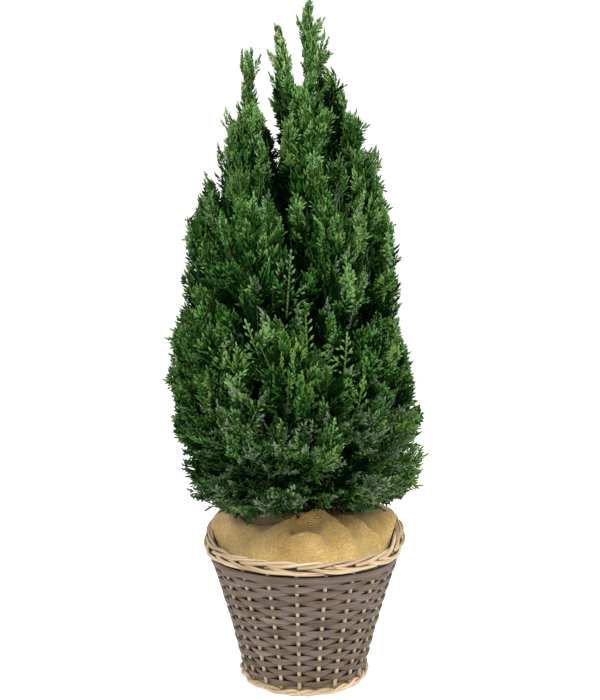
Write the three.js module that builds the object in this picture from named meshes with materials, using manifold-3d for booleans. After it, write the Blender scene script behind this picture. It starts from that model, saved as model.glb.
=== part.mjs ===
// Potted false cypress: an upright evergreen with three leading shoots, in a woven willow basket
// whose soil is covered with loosely woven jute. Millimetres, +Z up, the front of the plant facing -Y.
// The origin lies on the floor, under the middle of the basket.

import * as THREE from "three";
import { mergeVertices } from "three/addons/utils/BufferGeometryUtils.js";
import Module from "manifold-3d";

const wasm = await Module();
wasm.setup();

// Driving dimensions

const CLEARANCE = 0.3; // between neighbouring pieces
const SEED = 11;
const GOLDEN_SHARE = 0.618034; // share of a turn between one twig and the next

const STAKES = 22; // upright rods of the basket
const WEAVE_ROWS = 22;
const BASE_RADIUS = 72; // basket wall, at its foot
const MOUTH_RADIUS = 111; // basket wall, under its rim
const WALL_BOTTOM = 8.3;
const WALL_TOP = 141.4;
const WALL_FLARE = 1.15; // above 1 the wall opens more towards the mouth
const WALL_THICKNESS = 4.6;
const WEAVE_DEPTH = 1.5; // a strip's swing in and out round the stakes
const FLOOR_THICKNESS = 8;
const FOOT_ROD = 4.3; // radius of the foot's twisted rods taken together
const FOOT_TWISTS = 12;
const FOOT_WAIST = 0.8; // girth of the foot between two lobes, as a share

const RIM_RADIUS = 110.7; // middle of the plaited rim
const RIM_HEIGHT = 150.1;
const RIM_STRANDS = 3;
const RIM_PERIODS = 6; // times that a strand crosses from inside to outside and back
const RIM_ROD = 2.6;
const RIM_SPREAD = 6.5;
const RIM_LIFT = 4.2;
const RIM_TILT = THREE.MathUtils.degToRad(35); // the plait slopes outwards and down
const BACK_RISE = 24; // how much higher the mouth stands at the back than in front
const RISE_TURN = THREE.MathUtils.degToRad(6); // the rise starts further forward on the right
const RISE_START = -0.5; // how far back it starts, as a share of the mouth's radius
const RISE_RUN = 0.9; // how far it takes to the full height, as such a share
const RIM_RISE = 1.06; // the rim rises a little more than the wall, as a share, to clear it at each stake

const SOIL_TOP = 138;
const COVER_RADIUS = 100.4;
const COVER_HOLE = 21; // room for the foot of the trunk
const COVER_EDGE = 150; // height of the cloth where it tucks in behind the rim
const COVER_MOUND = 32; // rise of the cloth from the rim to the trunk
const COVER_FOLD = 7;
const COVER_ROLLS = 5; // soft rolls round the cloth
const COVER_RIPPLES = 3; // creases that run in to the trunk
const COVER_SHOULDER = 2.6; // above 1 the cloth stays high until near the rim

const TRUNK_RADIUS = 10.5;
const TRUNK_TIP_RADIUS = 3.4;
const ROOT_FLARE = 4.5;
const ROOT_FLARE_SHARE = 0.03; // share of the trunk's length in which the flare dies away
const TRUNK_TOP = 600; // height where the leading shoot takes over
const PLANT_TOP = 800;
const BOUGH_RADIUS = 4.6; // at the trunk
const LEADER_RADIUS = 6.5;
const BOUGH_TIP_RADIUS = 3;

// The crown's half width at each height, and how far its middle stands off the basket's.
const CROWN_OUTLINE = new THREE.SplineCurve(
  [
    [190, 108],
    [245, 140],
    [330, 149],
    [440, 137],
    [560, 118],
    [660, 76],
    [720, 40],
  ].map(([height, halfWidth]) => new THREE.Vector2(height, halfWidth)),
);
const CROWN_DRIFT = -11;
const TIP_SCATTER = 26; // how far the tips of one ring stand above or below each other

// Rings of upright plumes, from the skirt at the foot to the ring below the leading shoots.
// Heights are of the bough's root, and of the plume's foot, belly and tip. Out is the share of the crown's
// half width where the foot and the tip stand. A ring without boughs has its plumes on the trunk.
const TIERS = [
  {
    name: "skirt", count: 8, turn: 0, root: 191, foot: 204, belly: 262, tip: 405,
    footOut: 0.42, tipOut: 0.92, girth: 54, boughs: true, twigs: 7, rise: 0.3,
  },
  {
    name: "waist", count: 7, turn: 38, root: 250, foot: 300, belly: 385, tip: 545,
    footOut: 0.36, tipOut: 0.88, girth: 52, boughs: true, twigs: 6,
  },
  {
    name: "shoulder", count: 6, turn: -135, root: 372, foot: 415, belly: 505, tip: 650,
    footOut: 0.3, tipOut: 0.88, girth: 46, boughs: false, twigs: 6, arc: 270,
  },
  {
    name: "neck", count: 4, turn: -80, root: 495, foot: 525, belly: 600, tip: 700,
    footOut: 0.25, tipOut: 0.78, girth: 34, boughs: false, twigs: 6, arc: 210,
  },
];

// The two side leaders: where each leaves the trunk, and the points that its shoot passes.
const LEADERS = [
  {
    name: "left", root: 214, girth: 30, twigs: 7, footPoint: 3,
    path: [[-34, 2, 262], [-62, 4, 350], [-72, 5, 470], [-69, 4, 610], [-64, 2, 750]],
  },
  {
    name: "middle", root: 430, girth: 22, twigs: 6, footPoint: 2,
    path: [[-11, -15, 490], [-11, -21, 570], [-21, -19, 660], [-31, -13, 768]],
  },
];
const TALL_LEADER = { name: "tall", girth: 24, twigs: 6 };

const PLUME_RISE = 0.55; // how fast a plume swells from its foot
const PLUME_TAPER = 0.9; // how fast it narrows to its tip
const LEADER_TAPER = 1.1;
const CORE_SHARE = 0.44; // the dense heart of a plume, as a share of its girth
const PLUME_ARC = 2.1; // the twigs of an outer plume keep within this angle of facing outwards
const SPREAD_FOOT = 62; // degrees between a twig and its stem, low on a plume
const SPREAD_TIP = 24;
const STEM_RADIUS = 2.6;
const STEM_TIP_RADIUS = 0.8;
const SPRAY_LENGTH = [1.3, 1.9]; // as shares of the plume's girth
const SPRAY_WIDTH = 0.5; // as a share of its length
const SPRAY_THICKNESS = 3;
const SPRAY_TEETH = 2; // on each edge
const SPRAY_RIB = 0.42; // where a spray is thickest, as a share of its length
const SPRAY_LAG = 0.07; // how far the teeth of one edge lie behind those of the other
const SIDE_SPRAY = 0.66; // size of a side spray, as a share of its twig's own
const SIDE_SPRAY_FORK = 0.3; // where it leaves the twig
const CORE_LUMPS = 0.3; // how far the core's ridges swell and sink

// Materials

const willowGrey = new THREE.MeshStandardMaterial({ color: 0x85756a, roughness: 0.85, metalness: 0 });
const willowPale = new THREE.MeshStandardMaterial({ color: 0xcdb68c, roughness: 0.7, metalness: 0 });
const jute = new THREE.MeshStandardMaterial({ color: 0xb8935c, roughness: 0.95, metalness: 0 });
const compost = new THREE.MeshStandardMaterial({ color: 0x3a2c22, roughness: 1, metalness: 0 });
const bark = new THREE.MeshStandardMaterial({ color: 0x6e5640, roughness: 0.9, metalness: 0 });
const foliage = new THREE.MeshStandardMaterial({ color: 0x2f5a30, roughness: 0.7, metalness: 0 });
const youngFoliage = new THREE.MeshStandardMaterial({ color: 0x4a7a3c, roughness: 0.7, metalness: 0 });

// Helpers

function randomNumbers(seed) {
  let state = seed >>> 0;
  return () => {
    state = (Math.imul(state, 1664525) + 1013904223) >>> 0;
    return state / 4294967296;
  };
}

// A geometry as a closed solid, its shared corners merged and its collapsed faces left out.
function solid(geometry) {
  const bare = geometry.clone();
  bare.deleteAttribute("normal");
  bare.deleteAttribute("uv");
  const merged = mergeVertices(bare, 1e-3);
  const corners = merged.index.array;
  const kept = [];
  for (let i = 0; i < corners.length; i += 3) {
    const [a, b, c] = corners.slice(i, i + 3);
    if (a !== b && b !== c && c !== a) kept.push(a, b, c);
  }
  return new wasm.Manifold(
    new wasm.Mesh({
      numProp: 3,
      vertProperties: merged.attributes.position.array,
      triVerts: new Uint32Array(kept),
    }),
  );
}

function geometryOf(body) {
  const mesh = body.getMesh();
  const geometry = new THREE.BufferGeometry();
  geometry.setAttribute("position", new THREE.BufferAttribute(mesh.vertProperties, 3));
  geometry.setIndex(new THREE.BufferAttribute(mesh.triVerts, 1));
  geometry.computeVertexNormals();
  return geometry;
}

function addPiece(group, name, body, material) {
  const mesh = new THREE.Mesh(geometryOf(body), material);
  mesh.name = name;
  group.add(mesh);
}

// The largest closed body of a solid: what a cut leaves loose is dropped.
function largestBody(body) {
  return body.decompose().reduce((best, other) => (other.volume() > best.volume() ? other : best));
}

// A ring turned about the upright axis from a closed outline of [radius, height] points.
function turned(outline, segments) {
  const closed = [...outline, outline[0]].map(([radius, height]) => new THREE.Vector2(radius, height));
  return new THREE.LatheGeometry(closed, segments).rotateX(Math.PI / 2);
}

// Moves each corner of a geometry in or out, and up or down, by its own polar place.
function reshapePolar(geometry, place) {
  const at = geometry.attributes.position;
  for (let i = 0; i < at.count; i++) {
    const radius = Math.hypot(at.getX(i), at.getY(i));
    const angle = Math.atan2(at.getY(i), at.getX(i));
    const moved = place(radius, angle, at.getZ(i));
    at.setXYZ(i, moved.radius * Math.cos(angle), moved.radius * Math.sin(angle), moved.height);
  }
  return geometry;
}

// A cylinder bent along a stretch of a curve, its radius given by the share of the way and the turn round it.
// Side is a direction that crosses the limb everywhere.
function limb({ curve, start = 0, end = 1, radiusAt, side, sides, steps }) {
  const geometry = new THREE.CylinderGeometry(1, 1, 1, sides, steps);
  const at = geometry.attributes.position;
  for (let i = 0; i < at.count; i++) {
    const share = at.getY(i) + 0.5;
    const where = start + (end - start) * share;
    const along = curve.getTangentAt(where);
    const across = side.clone().addScaledVector(along, -side.dot(along)).normalize();
    const third = across.clone().cross(along);
    const radius = radiusAt(share, Math.atan2(at.getZ(i), at.getX(i)));
    const corner = curve
      .getPointAt(where)
      .addScaledVector(across, at.getX(i) * radius)
      .addScaledVector(third, at.getZ(i) * radius);
    at.setXYZ(i, corner.x, corner.y, corner.z);
  }
  return solid(geometry);
}

// A smooth curve through points, that also knows the share of its length at each of them.
function shootCurve(points) {
  const curve = new THREE.CatmullRomCurve3(points, false, "centripetal");
  const divisions = 100;
  const lengths = curve.getLengths(divisions * (points.length - 1));
  curve.shareAt = (index) => lengths[divisions * index] / lengths.at(-1);
  return curve;
}

function shareAtHeight(curve, height) {
  let low = 0;
  let high = 1;
  for (let i = 0; i < 30; i++) {
    const middle = (low + high) / 2;
    if (curve.getPointAt(middle).z < height) low = middle;
    else high = middle;
  }
  return (low + high) / 2;
}

// The basket

function wallRadius(height) {
  const share = (height - WALL_BOTTOM) / (WALL_TOP - WALL_BOTTOM);
  return BASE_RADIUS + (MOUTH_RADIUS - BASE_RADIUS) * Math.pow(Math.max(share, 0), WALL_FLARE);
}

const INSIDE_LEVELS = [0, 0.33, 0.67, 1].map((share) => WALL_BOTTOM + share * (SOIL_TOP - WALL_BOTTOM));

function insideRadius(height) {
  return wallRadius(height) - WALL_THICKNESS;
}

// How much the mouth stands above its height in front. It runs straight from stake to stake.
function mouthRise(angle) {
  const place = (angle / (2 * Math.PI) + 0.25) * STAKES; // counted from the front
  const stake = Math.floor(place);
  const [near, far] = [stake, stake + 1].map((at) => {
    const back = Math.sin((at / STAKES - 0.25) * 2 * Math.PI + RISE_TURN);
    return THREE.MathUtils.smoothstep(back, RISE_START, RISE_START + RISE_RUN);
  });
  return BACK_RISE * THREE.MathUtils.lerp(near, far, place - stake);
}

// The height of a row where the wall is drawn out to the raised mouth.
function drawnHeight(height, angle) {
  return height + mouthRise(angle) * ((height - WALL_BOTTOM) / (WALL_TOP - WALL_BOTTOM));
}

// The wall of flat strips. A row passes outside one stake and inside the next, its neighbours the other way.
// It flares up to the height of its front, and what stands above that at the back goes straight up.
function basketWall() {
  const rowHeight = (WALL_TOP - WALL_BOTTOM) / (WEAVE_ROWS - 1);
  const outside = Array.from({ length: WEAVE_ROWS }, (_, row) => {
    const height = WALL_BOTTOM + row * rowHeight;
    return [wallRadius(height), height];
  });
  const inside = [...INSIDE_LEVELS, WALL_TOP].map((height) => [insideRadius(height), height]).reverse();
  const weave = (radius, angle, height) => {
    const stake = Math.round((angle / (2 * Math.PI) + 0.25) * STAKES); // counted from the front
    const row = Math.round((height - WALL_BOTTOM) / rowHeight);
    const onOutside = radius > wallRadius(height) - WALL_THICKNESS / 2;
    const swing = (stake + row) % 2 === 0 ? WEAVE_DEPTH : -WEAVE_DEPTH;
    const drawn = onOutside || height > SOIL_TOP ? drawnHeight(height, angle) : height;
    const widened = wallRadius(Math.min(drawn, WALL_TOP)) - wallRadius(height);
    return { radius: radius + widened + (onOutside ? swing : 0), height: drawn };
  };
  return solid(reshapePolar(turned([...outside, ...inside], STAKES), weave));
}

function basketFloor() {
  const radius = BASE_RADIUS - FOOT_ROD - CLEARANCE;
  const disc = new THREE.CylinderGeometry(radius, radius, FLOOR_THICKNESS - CLEARANCE, STAKES);
  return solid(disc.rotateX(Math.PI / 2).translate(0, 0, (FLOOR_THICKNESS - CLEARANCE) / 2));
}

// The foot: a twisted pair of rods taken as one ring with a rope's lobes, flat where it stands.
function basketFoot() {
  const ringRadius = BASE_RADIUS + 1;
  const ringHeight = FLOOR_THICKNESS - FOOT_ROD;
  const ring = new THREE.TorusGeometry(ringRadius, FOOT_ROD, 6, 2 * FOOT_TWISTS).translate(0, 0, ringHeight);
  const twisted = reshapePolar(ring, (radius, angle, height) => {
    const column = Math.round((angle / Math.PI) * FOOT_TWISTS);
    const girth = column % 2 === 0 ? 1 : FOOT_WAIST;
    return {
      radius: ringRadius + (radius - ringRadius) * girth,
      height: Math.max(ringHeight + (height - ringHeight) * girth, 0),
    };
  });
  return solid(twisted);
}

// One strand of the plaited rim, as a closed line round the mouth.
class RimStrand extends THREE.Curve {
  constructor(strand) {
    super();
    this.phase = (strand / RIM_STRANDS) * 2 * Math.PI;
  }

  getPoint(share, target = new THREE.Vector3()) {
    const angle = share * 2 * Math.PI;
    const beat = RIM_PERIODS * angle + this.phase;
    const spread = RIM_SPREAD * Math.sin(beat);
    const lift = RIM_LIFT * Math.sin(2 * beat);
    const radius = RIM_RADIUS + spread * Math.cos(RIM_TILT) + lift * Math.sin(RIM_TILT);
    const height = RIM_HEIGHT - spread * Math.sin(RIM_TILT) + lift * Math.cos(RIM_TILT);
    const rise = RIM_RISE * mouthRise(angle);
    return target.set(radius * Math.cos(angle), radius * Math.sin(angle), height + rise);
  }
}

function rimStrand(strand) {
  return solid(new THREE.TubeGeometry(new RimStrand(strand), RIM_PERIODS * 9, RIM_ROD, 4, true));
}

function soil() {
  const side = INSIDE_LEVELS.map((height) => [insideRadius(height) - CLEARANCE, height]);
  return solid(turned([[0, WALL_BOTTOM], ...side, [0, SOIL_TOP]], STAKES));
}

// The jute cloth, gathered in soft folds that rise from the rim to the trunk.
function coverHeight(radius, angle) {
  const share = Math.max((radius - COVER_HOLE) / (COVER_RADIUS - COVER_HOLE), 0);
  const mound = COVER_MOUND * (1 - Math.pow(share, COVER_SHOULDER));
  const roll = COVER_FOLD * Math.sin(COVER_ROLLS * angle + 1) * Math.sin(Math.PI * share);
  const ripple = (COVER_FOLD / 2) * Math.sin(COVER_RIPPLES * (angle + share)) * (1 - share);
  return COVER_EDGE + mound + roll + ripple;
}

function juteCover() {
  const rings = 5;
  const bottom = SOIL_TOP + CLEARANCE;
  const top = Array.from({ length: rings + 1 }, (_, ring) => [
    COVER_RADIUS + (COVER_HOLE - COVER_RADIUS) * (ring / rings),
    COVER_EDGE,
  ]);
  const cloth = turned([[COVER_HOLE, bottom], [COVER_RADIUS, bottom], ...top], 20);
  return solid(
    reshapePolar(cloth, (radius, angle, height) => ({
      radius,
      height: height > (bottom + COVER_EDGE) / 2 ? coverHeight(radius, angle) : height,
    })),
  );
}

// Trunk, leaders and boughs

const UP_FRONT = new THREE.Vector3(0, -1, 0);

const stemLine = shootCurve(
  [
    [0, 0, SOIL_TOP + CLEARANCE],
    [-1, 0, 200],
    [-6, 3, 320],
    [-10, 5, 460],
    [-2, 6, TRUNK_TOP],
    [3, 4, 700],
    [4, 2, PLANT_TOP],
  ].map((point) => new THREE.Vector3(...point)),
);
const trunkEnd = shareAtHeight(stemLine, TRUNK_TOP);

function trunk(swell = 0) {
  const radiusAt = (share) =>
    swell +
    THREE.MathUtils.lerp(TRUNK_RADIUS, TRUNK_TIP_RADIUS, share) +
    ROOT_FLARE * Math.exp(-share / ROOT_FLARE_SHARE);
  return limb({ curve: stemLine, end: trunkEnd, radiusAt, side: UP_FRONT, sides: 8, steps: 12 });
}

function trunkPoint(height) {
  return stemLine.getPointAt(shareAtHeight(stemLine, height));
}

function crownRadius(height) {
  const heights = CROWN_OUTLINE.points.map((point) => point.x);
  let index = heights.findIndex((top) => height < top);
  if (index < 0) index = heights.length - 1;
  index = Math.max(index, 1);
  const share = (height - heights[index - 1]) / (heights[index] - heights[index - 1]);
  return CROWN_OUTLINE.getPoint((index - 1 + share) / (heights.length - 1)).y;
}

// The line of one plume in a ring: out along its bough, then up through the plume's foot, belly and tip.
function tierShoot(tier, angle, random) {
  const outward = new THREE.Vector3(Math.cos(angle), Math.sin(angle), 0);
  const scatter = (random() - 0.5) * TIP_SCATTER;
  const standing = (height, out) => new THREE.Vector3(CROWN_DRIFT, 0, height).addScaledVector(outward, out);
  const tipHeight = tier.tip + scatter;
  const curve = shootCurve([
    trunkPoint(tier.root + scatter / 5),
    standing(tier.foot + scatter / 3, crownRadius(tier.foot) * tier.footOut),
    standing(tier.belly + scatter / 2, crownRadius(tier.belly) - tier.girth),
    standing(tipHeight, crownRadius(tipHeight) * tier.tipOut),
  ]);
  return { curve, outward };
}

// Plumes

// A plume's girth along its length, as a share of the largest: swelling from the foot, narrowing to the tip.
function plumeShape(share, { rise, taper }) {
  const peak = rise / (rise + taper);
  const at = (s) => Math.pow(s, rise) * Math.pow(1 - s, taper);
  return at(share) / at(peak);
}

function allShoots(random) {
  const shoots = [];
  TIERS.forEach((tier) => {
    const arc = tier.arc ?? 360;
    const gaps = tier.arc ? tier.count - 1 : tier.count;
    for (let i = 0; i < tier.count; i++) {
      const degrees = tier.turn + (arc / gaps) * i;
      const { curve, outward } = tierShoot(tier, THREE.MathUtils.degToRad(degrees), random);
      const side = new THREE.Vector3(-outward.y, outward.x, 0);
      shoots.push({
        name: `${tier.name}_${i + 1}`, curve, side, outward, girth: tier.girth, twigs: tier.twigs,
        rise: tier.rise ?? PLUME_RISE, taper: PLUME_TAPER, foot: curve.shareAt(1), bough: tier.boughs,
      });
    }
  });
  LEADERS.forEach((leader) => {
    const points = [trunkPoint(leader.root), ...leader.path.map((point) => new THREE.Vector3(...point))];
    const curve = shootCurve(points);
    shoots.push({
      name: `${leader.name}_leader`, curve, side: UP_FRONT, outward: null, girth: leader.girth,
      twigs: leader.twigs, rise: PLUME_RISE, taper: LEADER_TAPER, foot: curve.shareAt(leader.footPoint),
      bough: true,
    });
  });
  shoots.push({
    name: `${TALL_LEADER.name}_leader`, curve: stemLine, side: UP_FRONT, outward: null,
    girth: TALL_LEADER.girth, twigs: TALL_LEADER.twigs, rise: PLUME_RISE, taper: LEADER_TAPER,
    foot: trunkEnd, bough: false,
  });
  return shoots;
}

function boughOf(shoot, swell = 0) {
  const isLeader = shoot.outward === null;
  const rootRadius = isLeader ? LEADER_RADIUS : BOUGH_RADIUS;
  return limb({
    curve: shoot.curve, end: shoot.foot, side: shoot.side, sides: 5, steps: isLeader ? 7 : 3,
    radiusAt: (share) => swell + THREE.MathUtils.lerp(rootRadius, BOUGH_TIP_RADIUS, share),
  });
}

// The stem of a plume starts just clear of its bough's tip or of the trunk, and swells into the plume's core.
function stemAndCore(shoot, swell = 0) {
  const start = shoot.foot + CLEARANCE / shoot.curve.getLength();
  const fromTrunk = shoot.outward !== null && !shoot.bough;
  const coreRadius = (share) => CORE_SHARE * shoot.girth * plumeShape(share, shoot);
  return limb({
    curve: shoot.curve, start: fromTrunk ? 0 : start, end: 0.97, side: shoot.side, sides: 6, steps: 5,
    radiusAt: (share, turn) => {
      const swelling = fromTrunk ? Math.max((share - shoot.foot) / (1 - shoot.foot), 0) : share;
      const lumps = 1 + CORE_LUMPS * Math.sin(3 * turn + 20 * share + shoot.curve.getLength());
      return swell + THREE.MathUtils.lerp(STEM_RADIUS, STEM_TIP_RADIUS, share) + coreRadius(swelling) * lumps;
    },
  });
}

// A spray as a toothed blade along +Y, with sharp edges and each face raised to a point on its rib.
function sprayBlade(length, width, thickness, teeth) {
  const edge = [];
  for (let k = 0; k < teeth; k++) {
    const share = k / teeth;
    const ahead = 0.46 + 0.54 * share;
    const reach = 0.5 - 0.2 * share * share;
    edge.push([reach, ahead], [0.46 * reach, ahead]);
  }
  const half = (side, lag) =>
    edge.map(([out, ahead]) => new THREE.Vector3(side * out * width, (ahead - lag) * length, 0));
  const outline = [
    new THREE.Vector3(0, 0, 0),
    ...half(1, 0),
    new THREE.Vector3(0, length, 0),
    ...half(-1, SPRAY_LAG).reverse(),
  ];
  const corners = [];
  [1, -1].forEach((face) => {
    const rib = new THREE.Vector3(0, SPRAY_RIB * length, (face * thickness) / 2);
    outline.forEach((from, k) => {
      const to = outline[(k + 1) % outline.length];
      corners.push(...(face > 0 ? [from, to, rib] : [to, from, rib]));
    });
  });
  return new THREE.BufferGeometry().setFromPoints(corners);
}

// A twig's sprays: a large one along it and, on a branched twig, a smaller one forking off in the same plane.
function twigSprays({ root, heading, face, length, branched }, random) {
  const lean = (random() < 0.5 ? -1 : 1) * (0.5 + 0.3 * random());
  const sprays = [{ share: 1, teeth: SPRAY_TEETH, from: root, turn: 0 }];
  if (branched) {
    const fork = root.clone().addScaledVector(heading, length * SIDE_SPRAY_FORK);
    sprays.push({ share: SIDE_SPRAY, teeth: SPRAY_TEETH - 1, from: fork, turn: lean });
  }
  const blade = ({ share, teeth, from, turn }, swell) => {
    const size = length * share;
    const flat = sprayBlade(size + swell, size * SPRAY_WIDTH + swell, SPRAY_THICKNESS + swell, teeth);
    const along = heading.clone().applyAxisAngle(face, turn);
    const frame = new THREE.Matrix4().makeBasis(along.clone().cross(face), along, face).setPosition(from);
    return solid(flat.applyMatrix4(frame));
  };
  return sprays.map((spray) => ({ body: blade(spray, 0), room: blade(spray, 2 * CLEARANCE) }));
}

// Where a plume's twigs stand: round its stem by the golden angle, upright near the tip and spreading below.
function twigPlace(shoot, index, random) {
  const share = (index + 0.5) / (shoot.twigs + 0.5);
  const where = shoot.foot + (1 - shoot.foot) * (0.03 + 0.75 * share);
  const along = shoot.curve.getTangentAt(where);
  const across = shoot.side.clone().addScaledVector(along, -shoot.side.dot(along)).normalize();
  const out = across.clone().cross(along).normalize();
  if (shoot.outward && out.dot(shoot.outward) < 0) out.negate();
  const turnShare = (0.5 + index * GOLDEN_SHARE) % 1;
  const turn = shoot.outward ? (turnShare - 0.5) * 2 * PLUME_ARC : turnShare * 2 * Math.PI;
  const radial = out.multiplyScalar(Math.cos(turn)).addScaledVector(across, Math.sin(turn));
  const spread = THREE.MathUtils.degToRad(THREE.MathUtils.lerp(SPREAD_FOOT, SPREAD_TIP, share));
  const heading = radial.clone().multiplyScalar(Math.sin(spread)).addScaledVector(along, Math.cos(spread));
  const girth = shoot.girth * Math.max(plumeShape(share, shoot), 0.6);
  const face = radial.addScaledVector(heading, -radial.dot(heading)).normalize();
  face.applyAxisAngle(heading, (random() - 0.5) * 2);
  const [shortest, longest] = SPRAY_LENGTH.map((ratio) => ratio * shoot.girth);
  const length = THREE.MathUtils.clamp(girth / Math.sin(spread), shortest, longest);
  return { root: shoot.curve.getPointAt(where), heading, face, length, branched: index % 3 === 0 };
}

// The last spray of a plume carries its line on to the tip.
function tipPlace(shoot) {
  const length = SPRAY_LENGTH[0] * shoot.girth;
  const root = shoot.curve.getPointAt(1 - length / shoot.curve.getLength());
  const heading = shoot.curve.getPointAt(1).sub(root).normalize();
  const face = UP_FRONT.clone().addScaledVector(heading, -UP_FRONT.dot(heading)).normalize();
  return { root, heading, face, length, branched: false };
}

function boxesMeet(a, b) {
  return a.min.every((low, axis) => low <= b.max[axis] && b.min[axis] <= a.max[axis]);
}

function meets(body, box, others) {
  return others.some((other) => boxesMeet(box, other.box) && !body.intersect(other.body).isEmpty());
}

function boxed(body) {
  return { body, box: body.boundingBox() };
}

// The stem and core of each plume, cut clear of the limbs and of the plumes before it.
function plumeHearts(shoots, limbRoom) {
  const taken = [...limbRoom];
  return shoots.map((shoot) => {
    const heart = boxed(stemAndCore(shoot));
    const near = taken.filter((other) => other.shoot !== shoot && boxesMeet(heart.box, other.box));
    taken.push(boxed(stemAndCore(shoot, CLEARANCE)));
    return boxed(largestBody(near.reduce((left, other) => left.subtract(other.body), heart.body)));
  });
}

// Every plume as one solid. A spray that would touch a limb or another plume is left out.
function growPlumes(shoots, limbRoom, random) {
  const hearts = plumeHearts(shoots, limbRoom);
  const plumes = shoots.map((shoot, index) => ({ shoot, pieces: [hearts[index]] }));
  const rounds = Math.max(...shoots.map((shoot) => shoot.twigs)) + 1;
  for (let round = 0; round < rounds; round++) {
    plumes.forEach((plume) => {
      const { shoot } = plume;
      if (round > shoot.twigs) return;
      const place = round === 0 ? tipPlace(shoot) : twigPlace(shoot, round - 1, random);
      const others = [...limbRoom, ...plumes.filter((p) => p !== plume).flatMap((p) => p.pieces)];
      const free = ({ room }) => !meets(room, room.boundingBox(), others);
      const sprays = twigSprays(place, random);
      const firstTouching = sprays.findIndex((spray) => !free(spray));
      const kept = firstTouching < 0 ? sprays : sprays.slice(0, firstTouching);
      kept.forEach(({ body }) => plume.pieces.push(boxed(body)));
    });
  }
  return plumes.map(({ shoot, pieces }) => ({
    shoot,
    body: largestBody(pieces.map((piece) => piece.body).reduce((joined, piece) => joined.add(piece))),
  }));
}

// The assembly

function pot() {
  const group = new THREE.Group();
  addPiece(group, "basket_floor", basketFloor(), willowPale);
  addPiece(group, "basket_foot", basketFoot(), willowPale);
  addPiece(group, "basket_wall", basketWall(), willowGrey);
  for (let strand = 0; strand < RIM_STRANDS; strand++) {
    addPiece(group, `rim_strand_${strand + 1}`, rimStrand(strand), willowPale);
  }
  addPiece(group, "soil", soil(), compost);
  addPiece(group, "jute_cover", juteCover(), jute);
  return group;
}

function plant() {
  const group = new THREE.Group();
  const random = randomNumbers(SEED);
  const trunkRoom = trunk(CLEARANCE);
  addPiece(group, "trunk", trunk(), bark);
  const shoots = allShoots(random);
  const limbRoom = [boxed(trunkRoom), boxed(juteCover())];
  shoots.filter((shoot) => shoot.bough).forEach((shoot) => {
    const bough = largestBody(limbRoom.reduce((left, other) => left.subtract(other.body), boughOf(shoot)));
    limbRoom.push({ ...boxed(boughOf(shoot, CLEARANCE)), shoot });
    addPiece(group, `bough_${shoot.name}`, bough, bark);
  });
  growPlumes(shoots, limbRoom, random).forEach(({ shoot, body }) => {
    addPiece(group, `foliage_${shoot.name}`, body, shoot.outward ? foliage : youngFoliage);
  });
  return group;
}

const pottedCypress = new THREE.Group();
pottedCypress.add(pot(), plant());

export default pottedCypress;
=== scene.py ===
"""Looks of the potted false cypress: woven basket, jute cloth, bark, twigs and sprays of scale leaves.

Sizes are in millimetres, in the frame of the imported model, and become metres when a mesh is made.
"""

import math

import bpy
import numpy as np
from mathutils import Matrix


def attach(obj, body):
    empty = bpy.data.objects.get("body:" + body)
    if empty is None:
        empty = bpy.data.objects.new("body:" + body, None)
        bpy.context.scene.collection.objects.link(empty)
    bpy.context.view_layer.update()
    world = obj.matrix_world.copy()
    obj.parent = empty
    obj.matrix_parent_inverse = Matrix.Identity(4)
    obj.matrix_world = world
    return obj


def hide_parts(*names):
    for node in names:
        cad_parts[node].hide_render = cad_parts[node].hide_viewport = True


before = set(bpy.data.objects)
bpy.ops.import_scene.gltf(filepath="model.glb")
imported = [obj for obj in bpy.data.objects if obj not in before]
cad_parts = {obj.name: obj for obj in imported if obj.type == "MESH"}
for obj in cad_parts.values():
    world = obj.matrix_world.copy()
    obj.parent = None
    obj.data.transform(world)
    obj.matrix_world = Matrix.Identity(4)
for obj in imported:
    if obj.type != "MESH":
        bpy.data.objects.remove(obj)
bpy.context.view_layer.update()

MM = 0.001
BODY = "root"

# Camera, worked out from the ellipses of the rim and the foot
PHOTO_HEIGHT = 700  # pixels
FOCAL_PIXELS = 756
HORIZON_ABOVE_MIDDLE = 11  # pixels
EYE = np.array([-5.0, -900.0, 391.0])
SENSOR = 36.0

# The white studio: dim on the camera's side, from the first direction to the second, and bright behind
STUDIO_LIGHT = (-0.9, 0.25, 0.6, 1.06)
FLOOR_GLOW = 0.35
FLOOR_SIZE = (6000.0, 8.0)  # radius and thickness
FLOOR_SIDES = 64
# Lamps: place, size and power, in metres and watts, all aimed at the middle of the plant
LAMPS = {
    "key": ((0.4, -1.7, 2.8), 1.6, 70.0),
    "fill": ((1.7, -1.2, 2.0), 1.6, 47.0),
    "low": ((-1.3, -1.6, 0.85), 1.0, 16.0),
}
LAMP_AIM = np.array([0, 0, 0.4])
PHASES = (0, 6)  # radians, where a wave may start

# Basket
BASKET_SEED = 3
MAP_SHIFTS = dict(row=0.37, stake=0.21, band=1.7, rod=0.4)  # metres, so that no two show the same grain
MAP_STARTS = (0, 3)  # the same for a rod of the border, at random
STAKES = 22
STAKE_STEPS = 10  # points of a strip from stake to stake
WEAVE_ROWS = 22
BASE_RADIUS = 72.0
MOUTH_RADIUS = 111.0
WALL_BOTTOM = 8.3
WALL_TOP = 141.4
WALL_FLARE = 1.15
WEAVE_TURN = math.radians(-4.5)  # the front stake stands a little left of the middle
WEAVE_MIDDLE = -1.5  # the stakes' middle, measured outwards from the wall's radius
WEAVE_SWING = 2.5  # a strip's way in and out round the stakes
ROW_CROWDING = 0.94  # below 1 the rows lie closer towards the rim
STRIP_WIDTH = 6.0  # where two rows pass each other
STRIP_BELLY = 1.8  # how much wider a strip is where it passes over a stake
BELLY_START = 0.7  # share of the way out where it has its full width
DIP_SHARPNESS = 2.2  # above 1 a strip goes in behind a stake only near it
DIP_PINCH = 0.8  # how much narrower it is there
STRIP_THICKNESS = 1.1
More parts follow.
